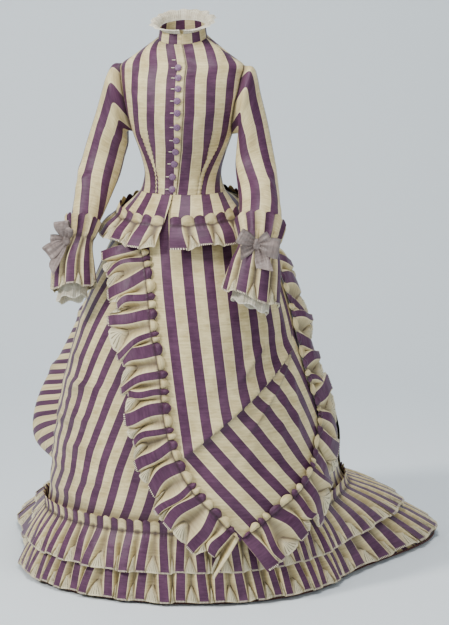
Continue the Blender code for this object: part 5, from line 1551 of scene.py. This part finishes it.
def makeStage():
    material, tree, shader = newLook("palePaper")
    place = tree.nodes.new("ShaderNodeTexCoord").outputs["Object"]
    parts = tree.nodes.new("ShaderNodeSeparateXYZ")
    tree.links.new(place, parts.inputs[0])
    # painted shade: the sweep is painted darker towards its top
    up = rampNode(tree, parts.outputs[2], -1.25, 1.6)
    tree.links.new(mixNode(tree, up, (0.85, 0.920, 0.965), (0.79, 0.860, 0.905)), shader.inputs["Base Color"])
    shader.inputs["Roughness"].default_value = 0.9
    seen = tree.nodes.new("ShaderNodeNewGeometry").outputs["Backfacing"]  # the sweep's back isn't seen from behind the dress
    tree.links.new(minusNode(tree, 1.0, seen), shader.inputs["Alpha"])
    behind, bend = stage["behind"], stage["bend"]
    profile = [(-stage["before"], 0.0), (behind, 0.0)]
    for k in range(1, 13):
        t = k / 12 * math.pi / 2
        profile.append((behind + bend * math.sin(t), bend - bend * math.cos(t)))
    profile.append((behind + bend, stage["tall"]))
    grid = np.array([[(x, y, z) for x in np.linspace(-stage["wide"], stage["wide"], 9)] for y, z in profile])
    turn = math.radians(camera["azimuth"])
    c, s = math.cos(turn), math.sin(turn)
    points = grid.reshape(-1, 3) @ np.array([[c, s, 0], [-s, c, 0], [0, 0, 1.0]])
    points[:, 2] -= wearHeight
    floor = objectFrom("paleFloor", points, gridFaces(len(profile), 9, False).reshape(-1, 4))
    floor.data.materials.append(material)
    selectOnly(floor)
    bpy.ops.object.shade_smooth_by_angle(angle=math.radians(40))


def makeLights():
    world = bpy.data.worlds.new("studio")
    world.use_nodes = True
    world.node_tree.nodes["Background"].inputs[0].default_value = (0.90, 0.95, 1.0, 1.0)
    world.node_tree.nodes["Background"].inputs[1].default_value = 0.30
    bpy.context.scene.world = world
    for name, place, aim, size, power, colour in (
        ("keyLight", (-3.4, -3.6, 2.8), (-0.05, 0.0, -0.35), 1.2, 290.0, (1.0, 0.985, 0.95)),
        ("fillLight", (3.4, -4.2, 1.4), (0.0, 0.1, -0.5), 2.6, 60.0, (0.95, 0.97, 1.0)),
        ("topLight", (0.3, -0.9, 3.4), (0.0, 0.1, -0.4), 1.6, 120.0, (1.0, 1.0, 1.0)),
    ):
        light = bpy.data.lights.new(name, "AREA")
        light.shape, light.size, light.energy, light.color = "DISK", size, power, colour
        lamp = bpy.data.objects.new(name, light)
        lamp.location = place
        lamp.rotation_euler = (Vector(aim) - Vector(place)).to_track_quat("-Z", "Y").to_euler()
        bpy.context.scene.collection.objects.link(lamp)


def makeCamera():
    a, e = math.radians(camera["azimuth"]), math.radians(camera["elevation"])
    back = Vector((math.sin(a) * math.cos(e), -math.cos(a) * math.cos(e), math.sin(e)))
    right = Vector((math.cos(a), math.sin(a), 0.0))
    wide, tall = camera["frame"]
    target = right * ((wide / 2 - camera["axisPixel"]) * camera["perPixel"]) + Vector((0, 0,
        camera["lookHeight"] - wearHeight))
    eye = bpy.data.objects.new("camera", bpy.data.cameras.new("camera"))
    eye.data.sensor_width = 36.0
    eye.data.lens = 36.0 * camera["distance"] / camera["perPixel"] / tall
    eye.location = target + back * camera["distance"]
    eye.rotation_euler = (-back).to_track_quat("-Z", "Y").to_euler()
    eye.data.clip_start, eye.data.clip_end = 0.1, 60.0
    bpy.context.scene.collection.objects.link(eye)
    bpy.context.scene.camera = eye


makeCamera()
makeBodice()
makeNeck()
makeSleeves()
makeSkirt()
makeFlounces()
makeApron()
makeApronFrills()
makePeplum()
makeDrape()
makeButtons()
makeBows()
makeBraid()
makeStage()
makeLights()
